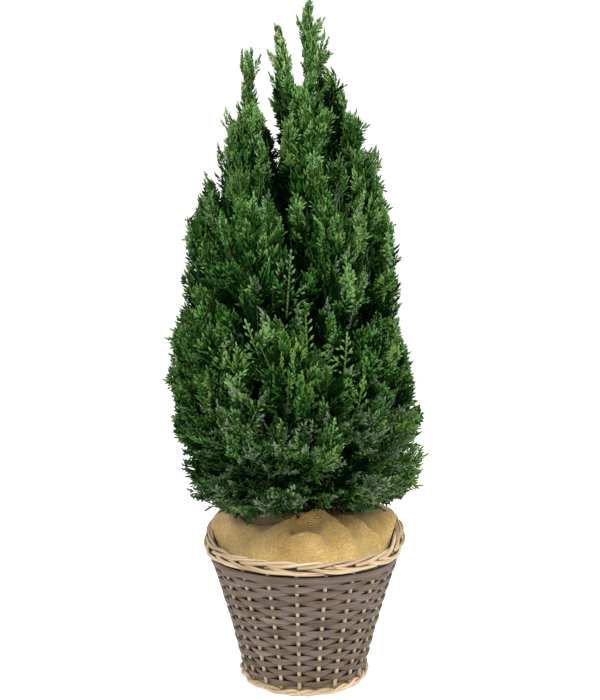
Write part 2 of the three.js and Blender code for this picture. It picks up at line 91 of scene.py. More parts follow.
STRIP_ACROSS = np.array([-1.0, -0.8, 0.0, 0.8, 1.0, 0.8, 0.0, -0.8])  # its section, in half widths
STRIP_DEPTH = np.array([0.0, -0.8, -1.0, -0.8, 0.0, 0.8, 1.0, 0.8])
ROW_WANDER = 0.6  # how far a strip strays up and down, in and out, and in its width
STRIP_SLACK = 0.35
WIDTH_WANDER = 0.7
WILLOW_SIDES = 8  # of a stake, the rim's core and the rods of the foot
STAKE_RADIUS = 2.2
STAKE_POINTS = 24
STAKE_SINK = 3.0  # how far below the rim's middle it ends
STAKE_SWAY = 0.35
STAKE_WAVE = 9.0
FOOT_RADIUS = 73.0
FOOT_HEIGHT = 3.9
FOOT_ROD = 1.8
FOOT_TWISTS = 11
FOOT_STEPS = 360
FOOT_TWIST_REACH = (1.9, 1.7)  # across and in height
FOOT_SLIP = 0.9  # how unevenly the rods are twisted
FOOT_STRAY = 0.4
FOOT_KNOTS = (17, 30, 23)  # of the noise in the twist, across and in height

RIM_RADIUS = 110.7
RIM_HEIGHT = 150.0
RIM_STRANDS = 3
RIM_ROD = 2.1
RIM_TILT = math.radians(35)
RIM_CORE = (7.0, 2.4)  # half width and half thickness of the fill under the rods, coloured near-black as painted shade
RIM_CORE_SINK = 1.8
RIM_STEPS = 120
BACK_RISE = 24.0  # how much higher the mouth stands at the back than in front
RISE_TURN = math.radians(6)
RISE_START = -0.5
RISE_RUN = 0.9
BORDER_SPAN = 3.0  # stakes that a rod of the border passes
BORDER_TOP_SPAN = 1.5  # stakes that it passes before it sinks under the next
BORDER_SINK = 3.6  # how deep it ends
BORDER_TURN = math.radians(7)
# For upper and lower rods: where a rod starts across the border, where it is drawn to, its height on top,
# and by how many stakes it is drawn there and risen
BORDER_ROUTES = [(1.4, -5.2, 3.4, 1.9, 0.0), (-2.0, 6.4, 2.0, 1.6, 0.9)]
BORDER_STEPS = 26
BORDER_SHIFT = 0.22  # most that a rod starts off its place, in stakes
BORDER_STRAY = (0.7, 0.4)  # most, across and in height
BORDER_GATHER = 0.45  # how much it draws to the middle where it sinks
ROD_GIRTHS = (0.86, 1.12)  # shares of the usual radius
ROD_WAVE = 0.06  # how much the girth comes and goes, and how fast
ROD_WAVES = 3
ROD_SIDES = 9
ROD_TAPER = 0.6  # how much thinner it ends
TOP_BAND_HEIGHT = 138.0
TOP_BAND_WIDTH = 8.0
TOP_BAND_PROUD = 0.9  # how far it stands off the weave
TOP_BAND_LEAN = -0.3
TOP_BAND_SECTION = np.array([[-0.5, -1], [0.5, -1], [0.6, 0], [0.5, 1], [-0.5, 1]])

# Jute cloth
SOIL_TOP = 138.0
CLOTH_INNER = 15.5
CLOTH_OUTER = 100.0
CLOTH_EDGE = 151.0
CLOTH_OVER = (10.5, 8.0)  # how far out and up it lies over the inner rods, at the sides and back
OVER_START = -0.4  # how far back that starts, as a share of the mouth's radius
OVER_RUN = 0.5
CLOTH_MOUND = 33.0
CLOTH_SHOULDER = 1.9
CLOTH_TUCK = 9.0  # how far the edge turns down behind the rim
TUCK_BULGE = 1.5
CLOTH_GRID = (84, 260, 5)  # rings, points round each, and rings that are tucked in
FOLD_FADES = (0.05, 0.1)  # shares of the way at the edge and at the trunk where the folds flatten out
FOLD_FADE_SHAPE = 0.6
CRISP_FALL = 1.6  # how fast a sharp crest falls off
GATHER_CREASES = 0.9  # height of the rays round the trunk
FINE_CREASES = 0.7  # height of the wrinkles all over
POCKET = (0.003, -0.047)  # metres, where the cloth lies single and its net shows
POCKET_SIZE = 0.024

# Trunk and boughs
TRUNK_RADIUS = 10.5
TRUNK_TIP_RADIUS = 3.4
ROOT_FLARE = 4.5
ROOT_FLARE_SHARE = 0.03
BARK_SEED = 5
TRUNK_GRID = (26, 150)  # points round the limb and along it
BOUGH_GRID = (12, 40)
TRUNK_RELIEF = 0.07  # of the bark, as a share of the radius
BOUGH_RELIEF = 0.09
BARK_RIDGES = (5, 8, 13)  # round the limb
BARK_TWIST = 3
BARK_DRIFT = 2.5
BARK_DRIFT_WAVES = (9, 22)
BARK_CRACKS = 0.4  # share of the cross cracks in the relief
CRACK_DEPTH = 0.5
CRACK_STEP = 0.9  # radians from point to point along the limb
CRACK_SWAY = (4, 3)  # how far a crack runs up and down round the limb, and how often
TRUNK_TOP = 600.0
PLANT_TOP = 800.0
BOUGH_RADIUS = 4.6
LEADER_RADIUS = 6.5
BOUGH_TIP_RADIUS = 3.0
STEM_TIP_RADIUS = 0.7
STEM_END = 0.93  # share of a shoot's line where its stem is lost among the leaves
SHORTEST_STEM = 0.05
STEM_TESTS = 50  # points of a stem that are looked at for sky behind them
STEM_GRID = (6, 24)  # points round a plume's stem and along it
SHOOT_STEM_GRID = (4, 9)
TRUNK_SHOOT_GRID = (5, 9)

# Crown, by the same rule as the solids
RULE_SEED = 11
GOLDEN_SHARE = 0.618034
CROWN_OUTLINE = np.array(
    [[190, 108], [245, 140], [330, 149], [440, 137], [560, 118], [660, 76], [720, 40]], float
)
CROWN_DRIFT = -11.0
TIP_SCATTER = 26.0
TIERS = [
    dict(name="skirt", count=8, turn=0, root=191, foot=204, belly=262, tip=405, foot_out=0.42, tip_out=0.92,
         girth=54, boughs=True, twigs=26, side_shoots=10, rise=0.3),
    dict(name="waist", count=7, turn=38, root=250, foot=300, belly=385, tip=545, foot_out=0.36, tip_out=0.88,
         girth=52, boughs=True, twigs=26, side_shoots=10),
    dict(name="shoulder", count=6, turn=-135, root=372, foot=415, belly=505, tip=650, foot_out=0.3,
         tip_out=0.88, girth=46, boughs=False, twigs=24, side_shoots=9, arc=270),
    dict(name="neck", count=4, turn=-80, root=495, foot=525, belly=600, tip=700, foot_out=0.25, tip_out=0.78,
         girth=34, boughs=False, twigs=30, side_shoots=5, arc=210),
]
LEADERS = [
    dict(name="left", root=214, girth=30, twigs=56, side_shoots=8, foot_point=3,
         path=[(-34, 2, 262), (-62, 4, 350), (-72, 5, 470), (-69, 4, 610), (-64, 2, 750)]),
    dict(name="middle", root=430, girth=25, twigs=52, side_shoots=3, foot_point=2,
         path=[(-11, -15, 490), (-11, -21, 570), (-21, -19, 660), (-31, -13, 768)]),
]
TALL_LEADER = dict(name="tall", girth=29, twigs=64, side_shoots=7)
# Single sprays that stand off the leaders: height of the root on the leader, and the tip
LEADER_SPRAYS = {
    "tall": [(676, (31, -6, 748)), (735, (20, -5, 770)), (742, (-9, -6, 771)), (770, (8, 0, 798)),
             (652, (36, -8, 700)), (640, (44, -8, 687))],
    "middle": [(696, (-44, -20, 727)), (664, (-42, -22, 699)), (636, (-42, -24, 669)),
               (692, (-15, -18, 722))],
    "left": [(696, (-51, -2, 728)), (702, (-71, -2, 731))],
}
# Small shoots at the crown's edge: the limb that each stands on, its root's height, and the points it passes
EDGE_SHOOTS = {
    "left": [(545, (-88, -8, 574), (-93, -10, 600)), (520, (-97, -6, 545), (-108, -8, 566)),
             (505, (-101, 10, 535), (-106, 12, 562)), (480, (-110, -4, 513), (-119, -6, 538)),
             (360, (-112, -8, 376), (-142, -10, 390)), (335, (-112, 6, 350), (-144, 8, 364)),
             (312, (-110, -6, 326), (-144, -8, 336))],
    "tall": [(222, (75, -15, 230), (112, -18, 242), (127, -20, 258)),
             (214, (70, -30, 219), (104, -38, 226), (118, -40, 238)),
             (224, (72, 20, 232), (108, 24, 242), (122, 26, 254)),
             (216, (-70, -20, 224), (-112, -24, 232), (-126, -26, 244)),
             (208, (-66, -34, 210), (-98, -42, 212), (-110, -44, 220)),
             (222, (-75, -12, 236), (-112, -14, 244), (-129, -16, 256)),
             (232, (-75, 10, 246), (-114, 12, 258), (-134, 14, 270)),
             (560, (42, -10, 612), (55, -12, 660)), (500, (66, -8, 556), (82, -10, 606))],
}
EDGE_GIRTH = 13.0
EDGE_FOOT = 0.2  # bare share at the foot of such a shoot
# Young shoots that stand out of the crown's front as the photo shows them: foot and tip, across and height
FRONT_SPRIGS = [
    ((3, 343), (1, 422)), ((43, 408), (46, 470)), ((-19, 412), (-15, 476)), ((-43, 362), (-60, 404)),
    ((-5, 308), (-11, 362)), ((-106, 318), (-68, 356)), ((40, 346), (45, 390)), ((53, 308), (62, 346)),
    ((-62, 290), (-44, 332)), ((22, 262), (30, 304)),
]
BACK_SPRIGS = 14  # the same behind, where the photo doesn't show
SPRIG_SPREAD = 90.0
SPRIG_HEIGHTS = (250.0, 430.0)
SPRIG_LENGTHS = (42.0, 76.0)
SPRIG_LEAN = 14.0
SPRIG_DEPTHS = (22.0, 1.0)  # of foot and tip within the crown's outline
SPRIG_RADII = (1.0, 0.6)
SPRIG_GRID = (5, 6)
SCALE_STEP = 4.0  # between the leaves that clothe the stem of a young shoot
SCALE_SIZE = (6.0, 2.0)
SCALE_END = 0.96  # share of the stem that they clothe
LEADER_CLEAR = 24.0  # how far the side shoots of a leader stay below its tip
STEM_LINE = [
    (0, 0, SOIL_TOP + 0.3), (-1, 0, 200), (-6, 3, 320), (-10, 5, 460), (-2, 6, TRUNK_TOP), (3, 4, 700),
    (4, 2, PLANT_TOP),
]
PLUME_RISE = 0.55
PLUME_TAPER = 0.9
LEADER_TAPER = 1.1
PLUME_ARC = 2.1
SPREAD_FOOT = 62.0
SPREAD_TIP = 24.0
SPRAY_LENGTH = (1.3, 1.9)
TWIG_RANGE = (0.02, 0.9)  # where the twigs of a shoot start, and how much of it they take up
LEAST_GIRTH = 0.6
LINE_STEPS = 60  # points of a line from knot to knot
LINE_NUDGE = 0.004  # share of a line either way that gives its direction

# Sprays of the crown
LEAF_SEED = 7
LEAF_STEP = 1.9  # between the branchlets of a twig, which stand on alternate sides
LEAF_LENGTH = 11.0
LEAF_WIDTH = 2.2
FEWEST_LEAVES = 6  # on a twig
FIRST_LEAF = 0.7  # steps from a twig's foot
STEP_JITTER = 0.25
LAST_LEAF = 0.98
OPEN_LESS = 16  # degrees that branchlets open less at the tip, and how far each is off that
OPEN_JITTER = 8
FORK_OPEN_LESS = 14
FORK_OPEN_JITTER = 9
LEAF_GROWTH = (0.6, 1.5)  # length of the first branchlet of a twig, and how soon they have their full length
LEAF_TAPER = 0.3  # how they get shorter again towards the tip, and the same for side sprays
FORK_TAPER = 0.6
FORK_LEAF_TAPER = 0.3
FORK_PLACE = 0.3  # how much further out the tip of a side spray counts, for the painted shade near a twig's foot
LEAF_SIZES = (0.8, 1.2)
FORK_LEAF_SIZES = (0.75, 1.2)
FORK_END = 0.75  # beyond this share of a twig no branchlet is forked
FORK_LEAST = 1.2  # shortest side spray, in branchlets
TIP_LEAVES = np.linspace(0.82, 0.98, 3)  # shares of a twig where the last ones lie along it
TIP_LEAF = 0.7  # their length, in branchlets
FORK_CHANCE = 0.23  # of a branchlet that is a side spray with branchlets of its own
FORK_SHARE = 0.45  # longest side spray, as a share of its twig
FORK_LEAF = 0.7  # branchlets of a side spray, as a share of the others' size
LEAF_THICKNESS = 0.55  # height of the crest, as a share of the width
LEAF_HOOK = 0.2  # most that a branchlet arches, as a share of its length
LEAF_CURL = (0.05, 0.32)  # least and most that its tip curls towards the tip of the twig
SHOOT_SPREAD = (40.0, 14.0)  # of the twigs from a side shoot, at its foot and at its tip
FACE_TURN = 1.0  # most that a spray turns away from facing outwards
TWIG_RADII = (0.8, 0.45)
TWIG_GRID = (3, 4)  # points round it and along it
TWIG_END = 0.97  # share of a twig where its stem ends
LEAST_BEND = 0.02  # radians, for a twig that is nearly straight
SIDE_SHAPE = dict(spread=SHOOT_SPREAD, rise=PLUME_RISE, taper=PLUME_TAPER)
SHOOT_RADIUS = 1.2
SHORTEST_TWIG = 14.0
TWIG_SHORTER = 0.85  # step by which a twig that doesn't fit is shortened, and the same for a shoot
SHOOT_SHORTER = 0.9
SKY_TESTS = np.linspace(0.3, 1, 9)  # shares of a shoot that mustn't stand before the sky
TWIG_TESTS = np.array([0.15, 0.4, 0.65, 0.9, 1.1])  # shares of its length where a twig must fit
LEADER_TIP = (0.35, 0.78)  # where a leader starts to narrow to a single tip, and by how much
YOUNG_CHANCE = 0.4  # of a side shoot in front that is a young one with stout branchlets
YOUNG_HEIGHTS = (240.0, 450.0)
YOUNG_FORWARD = -0.25  # least that a young one heads to the front
SHORTEST_SHOOT = 30.0
SHOOT_POINTS = 7  # of its line, of which the outer half must fit
# Shoots of the trunk itself, flat and low at the foot of the crown and more upright above: how many, where
# they stand on the trunk, their angle to it, the share of that angle that they bend up, and their reach as a
# share of the crown's half width
SHOOT_BANDS = [
    dict(count=42, roots=(192.0, 218.0), spread=(84.0, 97.0), bend=0.22, reach=(0.6, 1.1)),
    dict(count=52, roots=(214.0, 286.0), spread=(64.0, 90.0), bend=0.35, reach=(0.9, 1.2)),
    dict(count=44, roots=(225.0, 570.0), spread=(35.0, 60.0), bend=0.6, reach=(0.8, 1.3)),
    dict(count=22, roots=(470.0, 600.0), spread=(24.0, 48.0), bend=0.7, reach=(0.8, 1.3)),
]
TRUNK_TWIG_LENGTHS = (1.0, 1.5)
TRUNK_SHOOT_GIRTH = 20
TRUNK_SHOOT_FOOT = 0.3
TRUNK_SHOOT_LEAD = 40  # they reach as far as the crown does so much higher
OUTER_SHARE = 0.5  # beyond this share of a twig its branchlets keep their shade; nearer the foot they get painted shade a step darker
HIGH_CROWN = 470.0  # above this the crown gets painted light: lighter greens are dealt out and its inner blades are lighter
LEADERS_FOOT = 560.0  # above this the leaders have their own looks
LEADERS_ALONE = 620.0  # above this they stand alone, and their inner blades are painted light, for the light that shines through them
LOW_CROWN = 300.0
LOW_FRONT = (-10.0, 95.0)  # where the glaucous sprays of the low crown start, and how wide they reach
# Left of this the crown is dealt darker greens, painted shade on its left side
SHADED_LEFT_SIDE = -25.0
RIGHT_EDGE = 80.0
INSIDE_DEPTH = 40.0  # sprays deeper in the crown than this get painted shade
LOW_INSIDE_DEPTH = 72.0  # the same in the low crown
# The crown's outline in the photo: height, middle and half width
ENVELOPE = np.array([
    [178, -5, 20], [184, -6, 82], [192, -6, 100], [200, 0, 114], [212, 1, 124], [245, -1, 139],
    [270, -4, 147], [300, -8, 145], [360, -17, 140], [400, -20, 132], [440, -15, 127], [480, -17, 125],
    [520, -18, 118], [560, -15, 109], [590, -8, 95], [620, -8, 88], [650, -8, 76], [680, -6, 58],
    [700, -4, 40], [740, 0, 26], [820, 4, 10],
], float)
# Sky between and beside the leading shoots as the photo shows it: place across and height, and half the width
SKY_GAPS = [
    np.array([[-49, 762, 12], [-48, 735, 11], [-46, 709, 13], [-47, 694, 14], [-46, 680, 11], [-47, 668, 10],
              [-43, 659, 10], [-39, 650, 12], [-37, 640, 12], [-33, 628, 8], [-31, 608, 6], [-30, 590, 3]],
             float),
    np.array([[-15, 766, 9], [-11, 745, 9], [-9, 723, 8], [-8, 709, 8], [-5, 697, 9], [-5, 687, 5]], float),
    np.array([[-95, 775, 18], [-94, 700, 17], [-102, 665, 14]], float),
    np.array([[48, 800, 16], [54, 740, 16], [58, 700, 10], [52, 678, 6], [53, 656, 6]], float),
    np.array([[77, 642, 7], [75, 628, 9], [71, 618, 9], [67, 602, 4]], float),
]
TWIG_LENGTHS = (0.45, 0.85)  # of the plume's own twigs, as shares of the rule's length
LEADER_TWIG_LENGTHS = (0.65, 1.1)
SHOOT_LENGTH = (1.0, 1.5)  # of its side shoots
SHOOT_GIRTH = 0.36  # of a side shoot, as a share of its plume's
SHOOT_TWIG_LENGTHS = (0.8, 1.2)
SHOOT_FOOT = 0.16  # its bare share
SHOOT_BEND = (0.85, 1.15)  # how far it turns up, as a share of its angle to the stem
TWIG_STEP = 6.8  # between the twigs of a side shoot
FEWEST_TWIGS = 5
SHADE_PLACE = 0.75  # share of a shoot where its usual shade is chosen
INNER_WIDTH = 0.2  # of an inner blade, as a share of its length
INNER_BLADES = 80  # for each thousand square millimetres of girth times length
INNER_REACH = 0.5  # as a share of the plume's girth
INNER_SHARES = (0.0, 0.9)  # of the stem that they stand on
INNER_STANDS = (0.1, 0.6)  # how far off the stem, as a share of their reach
INNER_RISE = 1.2
INNER_LEAN = (0.2, 1.0)
INNER_STRAY = (0.3, 0.6)  # of where they head and of where they face
INNER_SIZE = 1.4  # length, as a share of their reach
INNER_SIZES = (0.7, 1.1)
INNER_LENGTHS = (8.0, 17.0)
HEART_GIRTH = 120.0  # of the sprays along the trunk, coloured in the shadow green as painted shade
HEART_SHAPE = dict(foot=0.1, rise=0.2, taper=0.6)
HEART_BLADE = 0.42  # their width, as a share of their length
SAME_SHADE = 0.6  # share of a shoot's twigs that have one shade
LOW_SAME_SHADE = 0.25  # the same, low in front
CROWN_FOOT = 184.0  # lowest foliage
FOLD_PLACE = 20.0  # of the cloth's highest fold, which the crown's foot is lifted over
FOLD_WIDTH = 30.0
FOLD_CLEAR = 13.0
FOOT_SLOPE = 0.24  # how much the foot of the crown rises towards the front
DARKER_CHANCE = 0.1  # of a branchlet that is a step darker than its twig
LIGHTER_CHANCE = 0.07


# Materials

WHITE = (1.0, 1.0, 1.0)
# Patterns for each metre: along and across a willow strip, across and up a limb, on the cloth and on leaves
WILLOW_GRAIN = (25.0, 1400.0, 1.0)
WILLOW_PATCHES = (14.0, 60.0, 1.0)
BARK_FIBRES = (420.0, 420.0, 40.0)
JUTE_THREADS = 190.0
JUTE_PATCHES = 26.0
JUTE_GLINT_SPOTS = 430.0
LEAF_BLOOM = 220.0
BLOOM_SPREAD = 0.12  # of the roughness, either way


def new_material(name):
    material = bpy.data.materials.new(name)
    material.use_nodes = True
    tree = material.node_tree
    shader = tree.nodes["Principled BSDF"]
    return material, tree, shader


def node(tree, kind, **values):
    made = tree.nodes.new(kind)
    for key, value in values.items():
        if key in made.inputs:
            made.inputs[key].default_value = value
        else:
            setattr(made, key, value)
    return made


def ramp(tree, source, stops):
    """A colour ramp fed by a socket, with (place, colour) stops."""
    made = tree.nodes.new("ShaderNodeValToRGB")
    elements = made.color_ramp.elements
    while len(elements) < len(stops):
        elements.new(0.5)
    for element, (place, colour) in zip(elements, stops):
        element.position = place
        element.color = (*colour, 1.0)
    tree.links.new(source, made.inputs["Fac"])
    return made.outputs["Color"]


def coordinates(tree, output, scale=(1.0, 1.0, 1.0)):
    source = tree.nodes.new("ShaderNodeTexCoord")
    mapping = node(tree, "ShaderNodeMapping", Scale=scale)
    tree.links.new(source.outputs[output], mapping.inputs["Vector"])
    return mapping.outputs["Vector"]


def noise(tree, vector, scale, detail=4.0, roughness=0.55):
    made = node(tree, "ShaderNodeTexNoise", Scale=scale, Detail=detail, Roughness=roughness)
    tree.links.new(vector, made.inputs["Vector"])
    return made.outputs["Fac"]


def bump(tree, shader, height, strength, distance):
    made = node(tree, "ShaderNodeBump", Strength=strength, Distance=distance)
    tree.links.new(height, made.inputs["Height"])
    tree.links.new(made.outputs["Normal"], shader.inputs["Normal"])


def mixed(tree, kind, factor, first, second):
    made = tree.nodes.new("ShaderNodeMix")
    made.data_type = "RGBA"
    made.blend_type = kind
    colours = [socket for socket in made.inputs if socket.type == "RGBA"]
    if isinstance(factor, float):
        made.inputs["Factor"].default_value = factor
    else:
        tree.links.new(factor, made.inputs["Factor"])
    tree.links.new(first, colours[0])
    tree.links.new(second, colours[1])
    return next(socket for socket in made.outputs if socket.type == "RGBA")


def coloured(tree, shader, colour, roughness):
    tree.links.new(colour, shader.inputs["Base Color"])
    shader.inputs["Roughness"].default_value = roughness


def noisy_material(name, stretch, scale, detail, stops, roughness):
    """A ramp of colours over noise. Returns the noise as well, for a relief."""
    material, tree, shader = new_material(name)
    spots = noise(tree, coordinates(tree, "Object", stretch), scale, detail)
    coloured(tree, shader, ramp(tree, spots, stops), roughness)
    return material, tree, shader, spots


def willow_material(name, patches, grain_dark, roughness):
    """Split or peeled willow: long grain on the strip's own map, with slow changes of colour along it."""
    material, tree, shader = new_material(name)
    grain = noise(tree, coordinates(tree, "UV", WILLOW_GRAIN), 1.0, 5.0)
    slow = noise(tree, coordinates(tree, "UV", WILLOW_PATCHES), 1.0, 3.0)
    tint = ramp(tree, slow, patches)
    streaks = ramp(tree, grain, [(0.3, grain_dark), (0.62, WHITE)])
    coloured(tree, shader, mixed(tree, "MULTIPLY", 1.0, tint, streaks), roughness)
    bump(tree, shader, grain, 0.5, 0.0004)
    return material


def jute_material():
    """Jute: a net of threads with painted glints and slow changes of colour. Its holes show where it lies
    single.
    """
    material, tree, shader = new_material("jute_cloth")
    cross = node(tree, "ShaderNodeMath", operation="MAXIMUM")
    for index, direction in enumerate("XY"):
        wave = node(tree, "ShaderNodeTexWave", bands_direction=direction, Scale=JUTE_THREADS, Distortion=2.2,
                    Detail=2.0)
        wave.inputs["Detail Scale"].default_value = 3.0
        tree.links.new(coordinates(tree, "UV"), wave.inputs["Vector"])
        tree.links.new(wave.outputs["Fac"], cross.inputs[index])
    threads = cross.outputs["Value"]
    net = ramp(tree, threads, [(0.25, (0.76, 0.75, 0.71)), (0.85, WHITE)])
    slow = noise(tree, coordinates(tree, "UV"), JUTE_PATCHES, 3.0)
    tint = ramp(tree, slow, [(0.3, (0.40, 0.238, 0.060)), (0.7, (0.69, 0.474, 0.164))])
    glint_spots = noise(tree, coordinates(tree, "UV"), JUTE_GLINT_SPOTS, 2.0)
    # Painted glints: small spots that darken and brighten the cloth, the bright ones a painted highlight
    glints = ramp(
        tree, glint_spots, [(0.34, (0.68, 0.66, 0.58)), (0.52, (0.84, 0.83, 0.80)), (0.66, (1.08, 1.09, 1.12))]
    )
    pocket = node(tree, "ShaderNodeTexGradient", gradient_type="SPHERICAL")
    spot = node(tree, "ShaderNodeMapping", Scale=(1 / POCKET_SIZE, 1 / POCKET_SIZE, 0.0))
    spot.inputs["Location"].default_value = (-POCKET[0] / POCKET_SIZE, -POCKET[1] / POCKET_SIZE, 0.0)
    tree.links.new(coordinates(tree, "UV"), spot.inputs["Vector"])
    tree.links.new(spot.outputs["Vector"], pocket.inputs["Vector"])
    single = ramp(tree, pocket.outputs["Fac"], [(0.05, (0.0, 0.0, 0.0)), (0.3, WHITE)])
    holes = ramp(tree, threads, [(0.35, (0.30, 0.28, 0.22)), (0.8, WHITE)])
    glinted = mixed(tree, "MULTIPLY", 1.0, tint, glints)
    net = mixed(tree, "MIX", single, net, holes)
    coloured(tree, shader, mixed(tree, "MULTIPLY", 1.0, glinted, net), 0.85)
    shader.inputs["Sheen Weight"].default_value = 0.25
    bump(tree, shader, threads, 0.6, 0.0006)
    return material


def bark_material():
    stops = [(0.3, (0.045, 0.026, 0.016)), (0.55, (0.14, 0.085, 0.052)), (0.75, (0.24, 0.17, 0.12))]
    material, tree, shader, fibres = noisy_material("bark", BARK_FIBRES, 1.0, 6.0, stops, 0.9)
    bump(tree, shader, fibres, 0.7, 0.001)
    return material


def soil_material():
    stops = [(0.35, (0.006, 0.004, 0.003)), (0.7, (0.03, 0.02, 0.014))]
    material, tree, shader, crumbs = noisy_material("compost", (1.0, 1.0, 1.0), 300.0, 6.0, stops, 1.0)
    bump(tree, shader, crumbs, 0.8, 0.002)
    return material


def floor_material():
    stops = [(0.3, (0.955, 0.955, 0.955)), (0.7, (0.97, 0.97, 0.968))]
    material, _, shader, _ = noisy_material("floor", (1.0, 1.0, 1.0), 2.0, 2.0, stops, 0.9)
    shader.inputs["Emission Color"].default_value = (*WHITE, 1.0)
    shader.inputs["Emission Strength"].default_value = FLOOR_GLOW
    return material


def leaf_material(name, colour, roughness, gloss):
    """Scale leaves: a plain base colour, dealt out by spray, with a waxy bloom that comes and goes."""
    material, tree, shader = new_material(name)
    shader.inputs["Base Color"].default_value = (*colour, 1.0)
    bloom = noise(tree, coordinates(tree, "Object"), LEAF_BLOOM, 3.0)
    spread = node(tree, "ShaderNodeMapRange")
    spread.inputs["To Min"].default_value = roughness - BLOOM_SPREAD
    spread.inputs["To Max"].default_value = roughness + BLOOM_SPREAD
    tree.links.new(bloom, spread.inputs["Value"])
    tree.links.new(spread.outputs["Result"], shader.inputs["Roughness"])
    shader.inputs["Specular IOR Level"].default_value = gloss
    return material


GREY_WILLOW = willow_material(
    "grey_willow",
    [(0.28, (0.052, 0.031, 0.017)), (0.44, (0.122, 0.081, 0.048)), (0.57, (0.118, 0.095, 0.078)),
     (0.72, (0.218, 0.158, 0.104))],
    (0.36, 0.31, 0.26), 0.8,
)
# Painted shade: near-black willow for the core under the border, standing in for the shade under its rods
CORE_SHADE_WILLOW = willow_material(
    "core_shade_willow", [(0.3, (0.030, 0.018, 0.009)), (0.7, (0.070, 0.045, 0.024))], (0.5, 0.45, 0.4), 0.9
)
STAKE_WILLOW = willow_material(
    "stake_willow", [(0.3, (0.30, 0.22, 0.14)), (0.7, (0.46, 0.36, 0.24))], (0.6, 0.55, 0.5), 0.75
)
PALE_WILLOW = willow_material(
    "pale_willow",
    [(0.27, (0.20, 0.135, 0.072)), (0.45, (0.42, 0.31, 0.180)), (0.6, (0.55, 0.43, 0.270)),
     (0.78, (0.68, 0.56, 0.40))],
    (0.42, 0.33, 0.23), 0.6,
)
JUTE = jute_material()
BARK = bark_material()
SOIL = soil_material()

# The greens, and the yellow-green of young twigs. They are the leaves' own tones dealt out by spray, and also
# painted shade and painted light: the shadow and deep greens deep in the crown, and steps darker or lighter
# by place
SHADES = [
    leaf_material("leaf_shadow", (0.001, 0.013, 0.001), 0.7, 0.05),
    leaf_material("leaf_deep", (0.005, 0.036, 0.003), 0.6, 0.08),
    leaf_material("leaf_dark", (0.018, 0.072, 0.006), 0.58, 0.1),
    leaf_material("leaf_mid", (0.047, 0.125, 0.022), 0.55, 0.14),
    leaf_material("leaf_bright", (0.110, 0.205, 0.058), 0.55, 0.18),
    leaf_material("leaf_olive", (0.104, 0.172, 0.026), 0.55, 0.15),
    leaf_material("leaf_grey", (0.070, 0.112, 0.056), 0.62, 0.2),
    leaf_material("leaf_bloom", (0.112, 0.152, 0.092), 0.65, 0.22),
    leaf_material("leaf_young", (0.230, 0.325, 0.115), 0.55, 0.22),
]
SHADOW, DEEP, DARK, MIDDLE, BRIGHT, OLIVE, GREY, BLOOM, YOUNG = range(len(SHADES))
# One step darker and one step lighter than each shade: painted shade at the foot of twigs and branchlets,
# painted highlight towards the tip of each branchlet, and random steps of tone
DARKER = np.array([SHADOW, SHADOW, DEEP, DARK, MIDDLE, MIDDLE, DARK, GREY, BRIGHT])
LIGHTER = np.array([SHADOW, DARK, MIDDLE, BRIGHT, BRIGHT, OLIVE, BLOOM, BLOOM, YOUNG])
GREEN_TWIG = leaf_material("green_twig", (0.062, 0.100, 0.020), 0.6, 0.1)
OLIVE_STEM = leaf_material("olive_stem", (0.040, 0.046, 0.014), 0.7, 0.1)


# Helpers


def unit(vectors):
    vectors = np.asarray(vectors, float)
    return vectors / np.linalg.norm(vectors, axis=-1, keepdims=True)


def square_to(vector, along):
    """The unit vector square to a direction that is nearest to vector."""
    return unit(vector - np.dot(vector, along) * along)


def rows_square_to(vectors, along):
    """The same for rows of vectors."""
    return unit(vectors - (vectors * along).sum(1, keepdims=True) * along)


def full_turn(steps):
    return np.arange(steps) * 2 * math.pi / steps


def make_mesh(name, points, triangles, materials, shades=None, uv=None):
    """A mesh object from arrays, points in millimetres. shades deals the materials out by triangle."""
    mesh = bpy.data.meshes.new(name)
    triangles = np.asarray(triangles, np.int32)
    mesh.vertices.add(len(points))
    mesh.vertices.foreach_set("co", (np.asarray(points) * MM).astype(np.float32).ravel())
    mesh.loops.add(triangles.size)
    mesh.loops.foreach_set("vertex_index", triangles.ravel())
    mesh.polygons.add(len(triangles))
    mesh.polygons.foreach_set("loop_start", np.arange(0, triangles.size, 3, dtype=np.int32))
    mesh.polygons.foreach_set("use_smooth", np.ones(len(triangles), bool))
    for material in materials:
        mesh.materials.append(material)
    if shades is not None:
        mesh.polygons.foreach_set("material_index", np.asarray(shades, np.int32))
    if uv is not None:
        layer = mesh.uv_layers.new(name="Map")
        layer.uv.foreach_set("vector", np.asarray(uv, np.float32)[triangles.ravel()].ravel())
    mesh.update(calc_edges=True)
    made = bpy.data.objects.new(name, mesh)
    bpy.context.scene.collection.objects.link(made)
    return made


def add_piece(name, shape, materials, slot, nodes=(), **more):
    made = make_mesh(name, *shape, materials, **more)
    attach(made, BODY)
    if nodes:
        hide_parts(*nodes)
    return made


def joined(shapes):
    """Several (points, triangles) as one."""
    points, triangles, start = [], [], 0
    for corners, faces in shapes:
        points.append(corners)
        triangles.append(np.asarray(faces) + start)
        start += len(corners)
    return np.vstack(points), np.vstack(triangles)


def round_section(sides):
    turn = full_turn(sides)
    return np.column_stack([np.cos(turn), np.sin(turn)])


def grid_triangles(rows, columns, closed_rows, closed_columns):
    """Triangles of a grid of points, wrapped round in either direction."""
    i = np.arange(rows if closed_rows else rows - 1)[:, None]
    j = np.arange(columns if closed_columns else columns - 1)[None, :]
    below, ahead = (i + 1) % rows, (j + 1) % columns
    a, b = i * columns + j, i * columns + ahead
    c, d = below * columns + ahead, below * columns + j
    return np.concatenate([np.stack([a, b, c], -1).reshape(-1, 3), np.stack([a, c, d], -1).reshape(-1, 3)])


